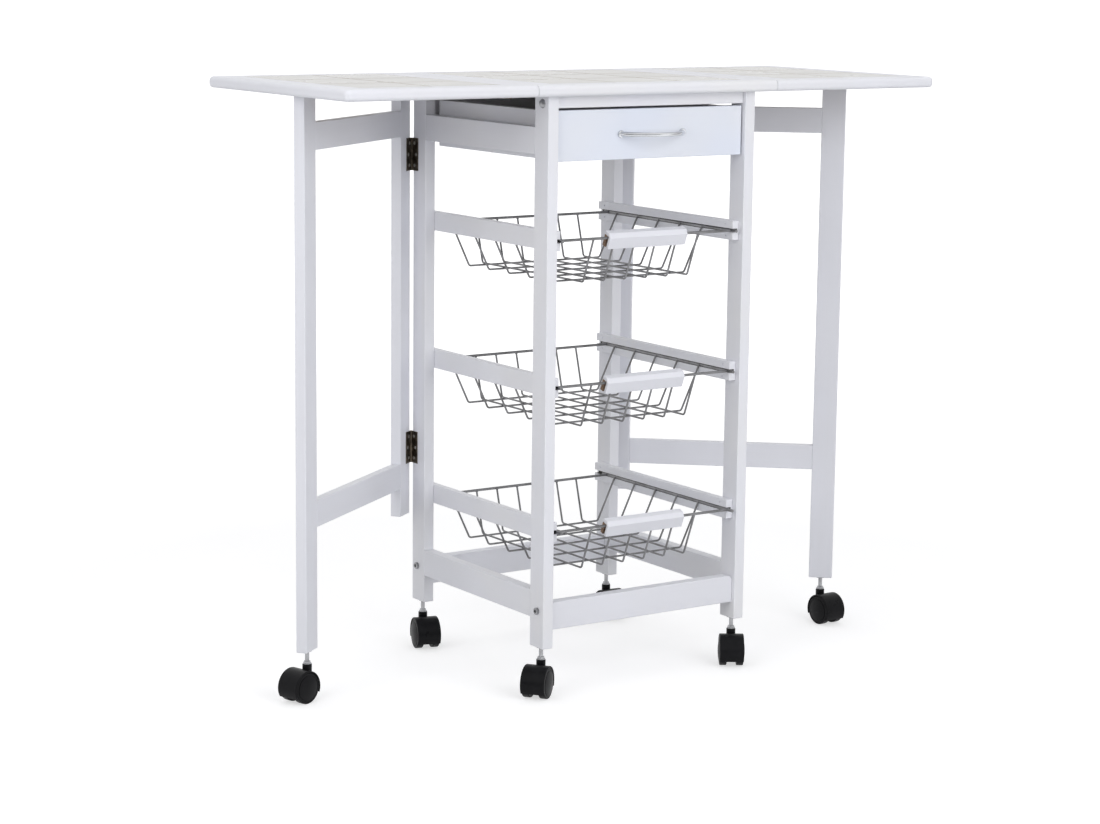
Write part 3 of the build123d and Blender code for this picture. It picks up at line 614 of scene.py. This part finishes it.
@dataclass(frozen=True)
class GroovedRunner(PaintedWood):
    """A painted runner whose groove, where the wire slides, is unpainted and coloured near-black as painted
    shade.
    """

    label: str = "white_paint_and_dark_groove"
    half_height: float = 0.00245
    mouth: float = 0.1356
    back: float = 0.1427
    # Near-black colours that paint the shade inside the groove.
    raw: Colour = (0.028, 0.026, 0.025)
    groove_shade_pale: Colour = (0.075, 0.068, 0.062)

    def surface(self, graph: Graph) -> Look:
        """Draws the paint and the painted shade in the groove.

        Args:
            graph: The tree to build in.

        Returns:
            The look.
        """
        colour, roughness, normal = super().surface(graph)
        place = graph.place()
        x, _, z = graph.axes(place)
        out = graph.math("ABSOLUTE", x)
        past_mouth = graph.math("GREATER_THAN", out, self.mouth)
        inside = graph.math("MULTIPLY", past_mouth, graph.math("LESS_THAN", out, self.back))
        near: Value = 1.0
        for level in Level:
            near = graph.math("MINIMUM", near, graph.apart(z, level.height))
        mask = graph.math("MULTIPLY", inside, graph.math("LESS_THAN", near, self.half_height))
        # Painted shade: the groove's inside is coloured near-black, lightly mottled.
        groove_shade_noise = graph.noise(graph.stretched(place, (1.0, 0.05, 1.0)), 500.0, 3.0, 0.6)
        raw = graph.mixed(graph.span(groove_shade_noise, 0.35, 0.7, 0.0, 1.0), self.raw, self.groove_shade_pale)
        roughness = graph.math("MAXIMUM", roughness, graph.math("MULTIPLY", mask, 0.7))
        return graph.mixed(mask, colour, raw), roughness, normal


@dataclass(frozen=True)
class Metal(Finish):
    """Plated or raw metal with a tarnish that lies in patches."""

    label: str
    bright: Colour
    dull: Colour
    roughness: float
    patch_scale: float
    patch_share: float
    scratch: float
    metallic: float = 1.0
    speck_ratio: float = 22.0
    scratch_scale: float = 2200.0
    scratch_depth: float = 0.00002

    def name(self) -> str:
        """The material's name."""
        return self.label

    def shade(self, graph: Graph) -> Material:
        """Draws the metal.

        Args:
            graph: The tree to build in.

        Returns:
            The finished material.
        """
        place = graph.place()
        cloud = graph.noise(place, self.patch_scale, 4.0, 0.6)
        fine = graph.noise(place, self.patch_scale * self.speck_ratio, 3.0, 0.6)
        drawn = graph.noise(graph.stretched(place, (1.0, 1.0, 0.06)), self.scratch_scale, 2.0)
        share = graph.math("MULTIPLY", graph.span(cloud, 0.35, 0.68, 0.0, 1.0), self.patch_share)
        share = graph.math("ADD", share, graph.span(fine, 0.5, 0.8, 0.0, 0.3))
        colour = graph.mixed(share, self.bright, self.dull)
        tarnished = graph.span(cloud, 0.3, 0.7, self.roughness, self.roughness + 0.12)
        roughness = graph.math("ADD", tarnished, graph.math("MULTIPLY", fine, 0.06))
        normal = graph.bump(graph.math("ADD", drawn, fine), self.scratch_depth, self.scratch)
        return graph.close(colour, roughness, normal, Metallic=self.metallic)


@dataclass(frozen=True)
class MouldedPlastic(Finish):
    """Black moulded plastic with a fine spark texture."""

    label: str
    black: Colour
    dust: Colour
    roughness: float
    texture: float
    cloud_scale: float = 55.0
    scuff_scale: float = 300.0
    spark_scale: float = 3200.0
    spark_depth: float = 0.00003

    def name(self) -> str:
        """The material's name."""
        return self.label

    def shade(self, graph: Graph) -> Material:
        """Draws the plastic.

        Args:
            graph: The tree to build in.

        Returns:
            The finished material.
        """
        place = graph.place()
        cloud = graph.noise(place, self.cloud_scale, 3.0, 0.55)
        spark = graph.noise(place, self.spark_scale, 2.0, 0.6)
        scuff = graph.noise(graph.stretched(place, (1.0, 1.0, 0.2)), self.scuff_scale, 4.0, 0.7)
        colour = graph.mixed(graph.span(cloud, 0.4, 0.75, 0.0, 0.6), self.black, self.dust)
        colour = graph.mixed(graph.span(scuff, 0.62, 0.8, 0.0, 0.4), colour, self.dust)
        clouded = graph.span(cloud, 0.3, 0.7, self.roughness, self.roughness + 0.1)
        roughness = graph.math("ADD", clouded, graph.span(scuff, 0.5, 0.8, 0.0, 0.12))
        normal = graph.bump(spark, self.spark_depth, self.texture)
        return graph.close(colour, roughness, normal, Specular_IOR_Level=0.10)


CHROME = Metal("chrome_plate", (0.70, 0.715, 0.74), (0.52, 0.53, 0.555), 0.06, 30.0, 0.5, 0.05)
BASKET_STEEL = Metal("plated_basket_wire", (0.27, 0.27, 0.28), (0.14, 0.137, 0.135), 0.30, 45.0, 0.7, 0.4)
HINGE_BRONZE = Metal("antique_bronze", (0.22, 0.185, 0.14), (0.06, 0.052, 0.045), 0.30, 130.0, 0.9, 0.6, 0.95)
SCREW_ZINC = Metal("screw_zinc", (0.62, 0.61, 0.59), (0.38, 0.36, 0.33), 0.28, 150.0, 0.5, 0.4)
BOLT_ZINC = Metal("bolt_zinc", (0.42, 0.425, 0.44), (0.20, 0.20, 0.205), 0.26, 120.0, 0.6, 0.4)
STEM_STEEL = Metal("bright_stem", (0.46, 0.465, 0.48), (0.24, 0.24, 0.25), 0.20, 90.0, 0.6, 0.3)
HOOD = MouldedPlastic("black_hood_plastic", (0.0068, 0.0068, 0.0078), (0.013, 0.013, 0.0145), 0.26, 0.4)
WHEEL = MouldedPlastic("black_wheel_plastic", (0.0075, 0.0075, 0.0085), (0.016, 0.016, 0.017), 0.34, 0.6)


# ---- dressing and making pieces ----


def dress(node: str, finish: Material) -> None:
    """Gives one of the cart's own solids its finish.

    Args:
        node: The solid's name.
        finish: The finish's material.
    """
    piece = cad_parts[node]
    if not piece.material_slots:
        piece.data.materials.append(finish)
    for slot in piece.material_slots:
        slot.material = finish
    log.info("%s: %s", node, finish.name)


def add_piece(name: str, shape: bmesh.types.BMesh, finish: Material, body: str) -> None:
    """Turns a drawn mesh into a piece that rides on one of the cart's bodies.

    Args:
        name: The new piece's name.
        shape: The drawn mesh, which is freed.
        finish: The piece's material.
        body: The body that it rides on.
    """
    mesh = bpy.data.meshes.new(name)
    bmesh.ops.recalc_face_normals(shape, faces=shape.faces)
    shape.to_mesh(mesh)
    shape.free()
    for face in mesh.polygons:
        face.use_smooth = True
    mesh.materials.append(finish)
    piece = bpy.data.objects.new(name, mesh)
    bpy.context.scene.collection.objects.link(piece)
    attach(piece, body)
    log.info("%s: %d faces on %s", name, len(mesh.polygons), body)


@dataclass(frozen=True)
class CrossHead:
    """The domed head of a small cross-recess screw."""

    radius: float = 0.0024
    edge: float = 0.00020
    crown: float = 0.00050
    floor: float = 0.00020
    arm: float = 0.0013
    half_width: float = 0.0003
    shoulder: float = 0.00014
    shoulder_share: float = 0.93
    crown_share: float = 0.72
    floor_share: float = 0.8
    between_arms: tuple[float, ...] = (radians(28.0), radians(45.0), radians(62.0))

    def outline(self) -> list[tuple[float, float]]:
        """Angle and distance of the recess's outline, all the way round."""
        corner = atan2(self.half_width, self.arm)
        tip = (self.arm ** 2 + self.half_width ** 2) ** 0.5
        quarter = [(0.0, self.arm), (corner, tip)]
        for angle in self.between_arms:
            quarter.append((angle, self.half_width / min(sin(angle), cos(angle))))
        quarter.append((pi / 2 - corner, tip))
        return [(angle + turn * pi / 2, distance) for turn in range(4) for angle, distance in quarter]

    def rings(self) -> list[list[Point]]:
        """Rings of points from the head's edge to the floor of its recess."""
        outline = self.outline()
        dome = (
            (self.radius, 0.0),
            (self.radius, self.edge),
            (self.radius * self.shoulder_share, self.edge + self.shoulder),
            (self.radius * self.crown_share, self.crown),
        )
        rings = [[(reach * cos(a), reach * sin(a), height) for a, _ in outline] for reach, height in dome]
        for share, height in ((1.0, self.crown), (self.floor_share, self.floor)):
            rings.append([(share * d * cos(a), share * d * sin(a), height) for a, d in outline])
        return rings

    def add_to(self, shape: bmesh.types.BMesh, place: Matrix) -> None:
        """Adds one head to a mesh.

        Args:
            shape: The mesh to add to.
            place: Where the head sits, with its own +Z looking out.
        """
        rows = [[shape.verts.new(place @ Vector(point)) for point in ring] for ring in self.rings()]
        count = len(rows[0])
        for low, high in zip(rows, rows[1:]):
            for index in range(count):
                after = (index + 1) % count
                shape.faces.new((low[index], low[after], high[after], high[index]))
        middle = shape.verts.new(place @ Vector((0.0, 0.0, self.floor)))
        for index in range(count):
            shape.faces.new((rows[-1][index], rows[-1][(index + 1) % count], middle))


def facing(point: Vector, out: Vector, turn: float) -> Matrix:
    """A place whose own +Z looks along out.

    Args:
        point: Where it is.
        out: The direction that it faces.
        turn: Its turn about that direction, in radians.

    Returns:
        The place.
    """
    aimed = out.to_track_quat("Z", "Y").to_matrix().to_4x4()
    return Matrix.Translation(point) @ aimed @ Matrix.Rotation(turn, 4, "Z")


# ---- the cart's sub-assemblies ----


@dataclass
class Hinges:
    """The leaf hinges under the top and the butt hinges of the gates."""

    joint_x: float = 0.1855
    barrel: float = 0.0026
    plate: float = 0.020
    plate_gap: float = 0.0005
    plate_thickness: float = 0.0014
    underside: float = 0.7654
    flap_middles: tuple[float, float] = (-0.086, 0.098)
    flap_reach: float = 0.0155
    stagger: float = 0.0019
    frame_x: float = 0.161
    gate_face: float = 0.1634
    pivot_x: float = 0.1622
    pivot_y: float = 0.1686
    butt_plate: float = 0.013
    butt_thickness: float = 0.0010
    butt_setback: float = 0.0022
    butt_bottoms: tuple[float, float] = (0.6506, 0.2535)
    butt_length: float = 0.0435
    butt_reach: float = 0.01475
    flap_twist: float = 90.0
    butt_twist: float = 70.0
    gate_open: dict[Side, float] = field(default_factory=lambda: {Side.LEFT: -54.3, Side.RIGHT: 48.7})
    head: CrossHead = CrossHead()

    def staggered(self, reach: float) -> list[tuple[float, float]]:
        """Each screw's place along a hinge and its step to one side.

        Args:
            reach: How far the outer screws are from the hinge's middle.

        Returns:
            The place and the step of each of the three screws.
        """
        return [(-reach, self.stagger), (0.0, -self.stagger), (reach, self.stagger)]

    def flap_screws(self, side: Side, away: int) -> list[Matrix]:
        """The screws under one plate of both hinges of a leaf's joint.

        Args:
            side: The joint's side.
            away: 1 for the leaf's plate, -1 for the top's plate.

        Returns:
            The place of each head.
        """
        middle_x = side.value * (self.joint_x + away * (self.barrel + self.plate / 2 + self.plate_gap))
        low = self.underside - self.plate_thickness
        places = []
        for middle in self.flap_middles:
            for along, step in self.staggered(self.flap_reach):
                point = Vector((middle_x + side.value * step, middle + along, low))
                places.append(facing(point, Vector((0.0, 0.0, -1.0)), point.y * self.flap_twist))
        return places

    def butt_screws(self, side: Side, fixed: bool) -> list[Matrix]:
        """The screws on one plate of both hinges of a gate.

        Args:
            side: The gate's side.
            fixed: Whether the plate is the one on the rear leg.

        Returns:
            The place of each head with the gate open.
        """
        wood = self.frame_x if fixed else self.gate_face
        out = 1.0 if fixed else -1.0
        middle_y = self.pivot_y - self.butt_setback - self.butt_plate / 2
        pivot = Vector((side.value * self.pivot_x, self.pivot_y, 0.0))
        swing = Matrix.Identity(4)
        if not fixed:
            turn = Matrix.Rotation(radians(self.gate_open[side]), 4, "Z")
            swing = Matrix.Translation(pivot) @ turn @ Matrix.Translation(-pivot)
        x = side.value * (wood + out * self.butt_thickness)
        outward = Vector((side.value * out, 0.0, 0.0))
        places = []
        for bottom in self.butt_bottoms:
            for along, step in self.staggered(self.butt_reach):
                point = Vector((x, middle_y + step, bottom + self.butt_length / 2 + along))
                places.append(swing @ facing(point, outward, point.z * self.butt_twist))
        return places

    def heads(self, name: str, places: list[Matrix], body: str) -> None:
        """Makes the visible heads of one set of screws.

        Args:
            name: The new piece's name.
            places: Where the heads sit.
            body: The body that they ride on.
        """
        shape = bmesh.new()
        for place in places:
            self.head.add_to(shape, place)
        add_piece(name, shape, SCREW_ZINC.material(), body)

    def build(self) -> None:
        """Dresses every plate and adds every screw's head."""
        bronze = HINGE_BRONZE.material()
        dress("leaf_hinge_fixed_plates", bronze)
        dress("gate_hinge_fixed_plates", bronze)
        tops: list[Matrix] = []
        butts: list[Matrix] = []
        for side in Side:
            dress(f"leaf_{side.word}_hinge_plates", bronze)
            dress(f"gate_{side.word}_hinge_plates", bronze)
            tops += self.flap_screws(side, -1)
            butts += self.butt_screws(side, True)
            self.heads(f"leaf_{side.word}_screw_heads", self.flap_screws(side, 1), f"leaf_{side.word}")
            self.heads(f"gate_{side.word}_screw_heads", self.butt_screws(side, False), f"gate_{side.word}")
        self.heads("top_hinge_screw_heads", tops, "frame")
        self.heads("leg_hinge_screw_heads", butts, "frame")


@dataclass
class CartFrame:
    """The four legs, their rails, runners and bolts."""

    legs: tuple[str, ...] = ("front_left", "front_right", "rear_left", "rear_right")
    cross_rails: tuple[str, ...] = ("apron_front", "apron_rear", "bottom_rail_front", "bottom_rail_rear")

    def build(self) -> None:
        """Dresses the frame's pieces."""
        upright = PaintedWood(Grain.UPRIGHT).material()
        across = PaintedWood(Grain.ACROSS).material()
        deep = PaintedWood(Grain.DEEP).material()
        grooved = GroovedRunner(Grain.DEEP).material()
        for leg in self.legs:
            dress(f"leg_{leg}", upright)
        for rail in self.cross_rails:
            dress(rail, across)
        for side in Side:
            dress(f"upper_rail_{side.word}", deep)
            dress(f"bottom_rail_{side.word}", deep)
            dress(f"basket_runners_{side.word}", grooved)
        dress("drawer_runners", deep)
        dress("frame_bolts", BOLT_ZINC.material())
        dress("frame_caster_stems", STEM_STEEL.material())


@dataclass
class TiledTop:
    """The middle of the top and its two leaves."""

    centre: TileField = TileField(0.0)
    leaf_middle: float = 0.320
    leaf_columns: int = 2

    def leaf_field(self, side: Side) -> TileField:
        """The tiles of one leaf.

        Args:
            side: The leaf's side.

        Returns:
            Where they lie.
        """
        return TileField(side.value * self.leaf_middle, columns=self.leaf_columns)

    def build(self) -> None:
        """Dresses the boards and the tiles."""
        dress("top_frame", GroutedBoard(Grain.ACROSS, tiles=self.centre).material())
        dress("top_tiles", GlazedTile(self.centre).material())
        for side in Side:
            tiles = self.leaf_field(side)
            dress(f"leaf_{side.word}_frame", GroutedBoard(Grain.ACROSS, tiles=tiles).material())
            dress(f"leaf_{side.word}_tiles", GlazedTile(tiles).material())


@dataclass
class Gate:
    """One swinging gate that carries a leaf."""

    side: Side
    open_angle: float

    def build(self) -> None:
        """Dresses the gate's wood and its stem."""
        word = self.side.word
        upright = PaintedWood(Grain.UPRIGHT, self.open_angle).material()
        along = PaintedWood(Grain.DEEP, self.open_angle).material()
        dress(f"gate_{word}_outer_leg", upright)
        dress(f"gate_{word}_inner_post", upright)
        dress(f"gate_{word}_rails", along)
        dress(f"gate_{word}_caster_stem", STEM_STEEL.material())


@dataclass
class Drawer:
    """The drawer's box and its bow handle."""

    # The drawer front's paint is a darker, bluer copy of the white paint: painted shade.
    front_white: Colour = (0.735, 0.775, 0.875)
    front_shaded_worn: Colour = (0.70, 0.735, 0.82)

    def build(self) -> None:
        """Dresses the drawer."""
        across = PaintedWood(Grain.ACROSS).material()
        # Painted shade: the drawer front wears the darker, bluer copy of the white paint.
        shaded_front_paint = PaintedWood(
            Grain.ACROSS, white=self.front_white, worn=self.front_shaded_worn, label="cool_white_paint"
        )
        dress("drawer_front", shaded_front_paint.material())
        dress("drawer_back", across)
        dress("drawer_bottom", across)
        dress("drawer_sides", PaintedWood(Grain.DEEP).material())
        dress("drawer_handle", CHROME.material())


@dataclass
class Basket:
    """One wire basket with its grip."""

    level: Level
    rim_x: float = 0.1366
    rim_z: float = -0.0001
    rim_front: float = -0.145
    rim_rear: float = 0.1326
    cross_middle: float = 0.0142
    cross_pitch: float = 0.0489
    cross_wires: int = 5
    long_pitch: float = 0.0329
    long_wires: int = 6
    floor_z: float = -0.05845
    grip_half: float = 0.061
    bead: Point = (0.00155, 0.00165, 0.0013)
    rim_bead: Point = (0.0011, 0.0019, 0.0011)
    side_weld: tuple[float, float] = (0.0020, 0.0002)
    end_weld: tuple[float, float] = (0.0007, 0.0017)
    uneven_size: float = 0.10
    uneven_turn: float = 0.12

    def welds(self) -> list[tuple[Point, Point]]:
        """Where the wires are welded to each other and to the rim, and each bead's half sizes."""
        first_cross = self.cross_middle - (self.cross_wires - 1) / 2 * self.cross_pitch
        first_long = -(self.long_wires - 1) / 2 * self.long_pitch
        across = [first_cross + i * self.cross_pitch for i in range(self.cross_wires)]
        long = [first_long + i * self.long_pitch for i in range(self.long_wires)]
        found = [((x, y, self.floor_z), self.bead) for x in long for y in across]
        inset, drop = self.side_weld
        for y in across:
            for side in Side:
                found.append(((side.value * (self.rim_x - inset), y, self.rim_z - drop), self.rim_bead))
        inset, drop = self.end_weld
        turned = (self.rim_bead[1], self.rim_bead[0], self.rim_bead[2])
        for x in long:
            found.append(((x, self.rim_rear - inset, self.rim_z - drop), turned))
            if abs(x) > self.grip_half:
                found.append(((x, self.rim_front + inset, self.rim_z - drop), turned))
        return found

    def beads(self) -> bmesh.types.BMesh:
        """The small beads that the spot welds leave."""
        shape = bmesh.new()
        for number, ((x, y, z), half) in enumerate(self.welds()):
            swell = 1.0 + self.uneven_size * sin(number * 2.4)
            size = Matrix.Diagonal((half[0] * swell, half[1] * swell, half[2], 1.0))
            turn = Matrix.Rotation(self.uneven_turn * sin(number * 0.7), 4, "Z")
            place = Matrix.Translation((x, y - self.level.forward, z + self.level.height)) @ turn @ size
            bmesh.ops.create_icosphere(shape, subdivisions=2, radius=1.0, matrix=place)
        return shape

    def build(self) -> None:
        """Dresses the basket and adds its welds."""
        word = self.level.word
        steel = BASKET_STEEL.material()
        wire_y = self.rim_front - self.level.forward
        wire_z = self.level.height + self.rim_z
        dress(f"basket_{word}_wires", steel)
        dress(f"basket_{word}_grip", PaintedGrip(Grain.ACROSS, wire_y=wire_y, wire_z=wire_z).material())
        add_piece(f"basket_{word}_welds", self.beads(), steel, f"basket_{word}")


@dataclass
class Caster:
    """One twin-wheel caster."""

    place: CasterPlace

    def build(self) -> None:
        """Dresses the caster's hood and wheels."""
        dress(f"caster_{self.place.word}_hood", HOOD.material())
        dress(f"caster_{self.place.word}_wheels", WHEEL.material())


# ---- the studio ----


@dataclass(frozen=True)
class SoftLamp:
    """A square soft lamp that looks at a point."""

    name: str
    place: Point
    target: Point
    size: float
    power: float
    tint: Colour = (1.0, 1.0, 1.0)

    def build(self) -> None:
        """Hangs the lamp."""
        lamp = bpy.data.lights.new(self.name, "AREA")
        lamp.shape = "SQUARE"
        lamp.size = self.size
        lamp.energy = self.power
        lamp.color = self.tint
        holder = bpy.data.objects.new(self.name, lamp)
        holder.location = self.place
        aim = Vector(self.target) - Vector(self.place)
        holder.rotation_euler = aim.to_track_quat("-Z", "Y").to_euler()
        holder.visible_camera = False
        holder.visible_glossy = False
        bpy.context.scene.collection.objects.link(holder)


class SkyGraph(Graph):
    """The node tree of the surroundings."""

    def __init__(self, name: str) -> None:
        """Starts an empty tree for the surroundings.

        Args:
            name: The world's name.
        """
        self.world = bpy.data.worlds.new(name)
        self.world.use_nodes = True
        self.tree = self.world.node_tree
        self.tree.nodes.clear()
        self.output = self.tree.nodes.new("ShaderNodeOutputWorld")
        bpy.context.scene.world = self.world


@dataclass(frozen=True)
class Screens:
    """The white screens round the cart as reflections show them.

    A gap between two of them shows the unlit room, and one screen is a dimmer wall.
    """

    gap: Point = (-0.500, -0.866, 0.0)
    gap_edges: tuple[float, float] = (0.62, 0.72)
    gap_tone: float = 0.03
    wall: Point = (0.94, -0.34, 0.0)
    wall_edges: tuple[float, float] = (0.90, 0.985)
    wall_tone: float = 0.32

    def brightness(self, graph: Graph, towards: Value, level: Value) -> Socket:
        """How bright the surroundings are in a direction.

        Args:
            graph: The tree to build in.
            towards: The direction from the cart.
            level: One at eye level, zero overhead and on the floor by the cart.

        Returns:
            The brightness, where 1 is white.
        """
        ahead = graph.vector("NORMALIZE", graph.vector("MULTIPLY", towards, (1.0, 1.0, 0.0)))
        gap = (self.gap, self.gap_edges, self.gap_tone)
        wall = (self.wall, self.wall_edges, self.wall_tone)
        light: Value = 1.0
        for middle, edges, tone in (gap, wall):
            near = graph.vector("DOT_PRODUCT", ahead, middle)
            share = graph.math("MULTIPLY", graph.span(near, *edges, 0.0, 1.0), level)
            light = graph.math("MULTIPLY", light, graph.span(share, 0.0, 1.0, 1.0, tone))
        return light


@dataclass
class Studio:
    """A plain pale floor, white surroundings, soft lamps and the camera."""

    ambient: float = 0.52
    ambient_tint: Colour = (0.985, 0.99, 1.0)
    screens: Screens = Screens()
    eye_level: tuple[float, float] = (0.16, 0.24)
    floor_white: Colour = (0.56, 0.56, 0.565)
    floor_grey: Colour = (0.55, 0.55, 0.56)
    floor_half: float = 60.0
    floor_steps: int = 24
    floor_mirrors: tuple[float, float] = (1.6, 3.4)
    glow_reach: tuple[float, float] = (0.9, 3.2)
    glow_by_cart: float = 0.58
    camera_place: Point = (-1.991445, -2.896158, 0.944777)
    yaw: float = 0.590956995
    pitch: float = 0.172265028
    roll: float = 0.011416537
    focal_pixels: float = 2664.684
    picture_width: int = 1100
    sensor: float = 36.0
    nearest: float = 0.05
    farthest: float = 300.0
    lamps: tuple[SoftLamp, ...] = (
        SoftLamp("key", (0.2, -2.4, 1.25), (0.0, 0.0, 0.50), 1.7, 27.5, (0.985, 0.99, 1.0)),
        SoftLamp("fill_left", (-1.9, -0.7, 1.15), (0.0, 0.0, 0.55), 1.2, 12.6),
        SoftLamp("top", (0.3, 0.6, 3.4), (0.0, 0.0, 0.70), 2.4, 18.0),
    )

    def seen_rays(self, graph: Graph, rays: bpy.types.Node) -> Socket:
        """One for rays of the eye, of reflections and through glass.

        Args:
            graph: The tree to build in.
            rays: The tree's Light Path node.

        Returns:
            The mask.
        """
        mirrored = graph.math("MAXIMUM", rays.outputs["Is Glossy Ray"], rays.outputs["Is Transmission Ray"])
        return graph.math("MAXIMUM", rays.outputs["Is Camera Ray"], mirrored)

    def sky(self) -> None:
        """White surroundings for the eye, the screens for reflections, and a plain ambient light."""
        graph = SkyGraph("white_surroundings")
        rays = graph.node("ShaderNodeLightPath", {})
        towards = graph.node("ShaderNodeTexCoord", {}).outputs["Generated"]
        height = graph.math("ABSOLUTE", graph.axes(towards)[2])
        light = self.screens.brightness(graph, towards, graph.span(height, *self.eye_level, 1.0, 0.0))
        white = graph.math("MAXIMUM", rays.outputs["Is Camera Ray"], light)
        plain = graph.node("ShaderNodeBackground", {0: (*self.ambient_tint, 1.0), 1: self.ambient})
        seen = graph.node("ShaderNodeBackground", {0: (1.0, 1.0, 1.0, 1.0), 1: white})
        inputs = {0: self.seen_rays(graph, rays), 1: plain.outputs[0], 2: seen.outputs[0]}
        blend = graph.node("ShaderNodeMixShader", inputs)
        graph.tree.links.new(blend.outputs[0], graph.output.inputs[0])

    def floor(self) -> None:
        """A wide pale floor that keeps the cart's shadow and fades to white far away."""
        shape = bmesh.new()
        steps = self.floor_steps
        bmesh.ops.create_grid(shape, x_segments=steps, y_segments=steps, size=self.floor_half)
        mesh = bpy.data.meshes.new("studio_floor")
        shape.to_mesh(mesh)
        shape.free()
        mesh.materials.append(self.floor_finish())
        floor = bpy.data.objects.new("studio_floor", mesh)
        bpy.context.scene.collection.objects.link(floor)

    def floor_finish(self) -> Material:
        """A matte white that glows towards the horizon and mirrors the screens far from the cart."""
        graph = Graph("pale_floor")
        place = graph.place()
        away = graph.vector("LENGTH", place)
        mottle = graph.noise(place, 3.0)
        colour = graph.mixed(graph.span(mottle, 0.3, 0.7, 0.0, 1.0), self.floor_white, self.floor_grey)
        rays = graph.node("ShaderNodeLightPath", {})
        light = self.screens.brightness(graph, place, graph.span(away, *self.floor_mirrors, 0.0, 1.0))
        light = graph.math("MAXIMUM", rays.outputs["Is Camera Ray"], light)
        fade = graph.span(away, *self.glow_reach, self.glow_by_cart, 1.0)
        shown = graph.math("MULTIPLY", self.seen_rays(graph, rays), fade)
        glow = graph.node("ShaderNodeEmission", {1: graph.math("MULTIPLY", shown, light)})
        unlit = graph.math("MULTIPLY", rays.outputs["Is Glossy Ray"], graph.math("SUBTRACT", 1.0, light))
        lit = graph.math("SUBTRACT", 1.0, unlit)
        matte = graph.node("ShaderNodeBsdfDiffuse", {0: graph.mixed(lit, (0.0, 0.0, 0.0), colour)})
        both = graph.node("ShaderNodeAddShader", {0: matte.outputs[0], 1: glow.outputs[0]})
        graph.tree.links.new(both.outputs[0], graph.output.inputs[0])
        return graph.material

    def camera(self) -> None:
        """The camera at the photograph's viewing angle."""
        flat = cos(self.pitch)
        ahead = Vector((sin(self.yaw) * flat, cos(self.yaw) * flat, -sin(self.pitch)))
        level = Vector((cos(self.yaw), -sin(self.yaw), 0.0))
        upright = level.cross(ahead)
        right = cos(self.roll) * level + sin(self.roll) * upright
        up = -sin(self.roll) * level + cos(self.roll) * upright
        lens = bpy.data.cameras.new("camera")
        lens.sensor_fit = "HORIZONTAL"
        lens.sensor_width = self.sensor
        lens.lens = self.focal_pixels / self.picture_width * self.sensor
        lens.clip_start = self.nearest
        lens.clip_end = self.farthest
        holder = bpy.data.objects.new("camera", lens)
        turn = Matrix((right, up, -ahead)).transposed().to_4x4()
        holder.matrix_world = Matrix.Translation(self.camera_place) @ turn
        bpy.context.scene.collection.objects.link(holder)
        bpy.context.scene.camera = holder

    def build(self) -> None:
        """Sets up the studio."""
        bpy.context.scene.view_settings.view_transform = "Standard"
        self.sky()
        self.floor()
        for lamp in self.lamps:
            lamp.build()
        self.camera()


def main() -> None:
    """Builds and dresses the cart in its studio."""
    logging.basicConfig(level=logging.INFO, format="%(message)s")
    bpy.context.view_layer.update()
    hinges = Hinges()
    TiledTop().build()
    CartFrame().build()
    Drawer().build()
    for level in Level:
        Basket(level).build()
    for side in Side:
        Gate(side, hinges.gate_open[side]).build()
    hinges.build()
    for place in CasterPlace:
        Caster(place).build()
    Studio().build()


if __name__ == "__main__":
    main()
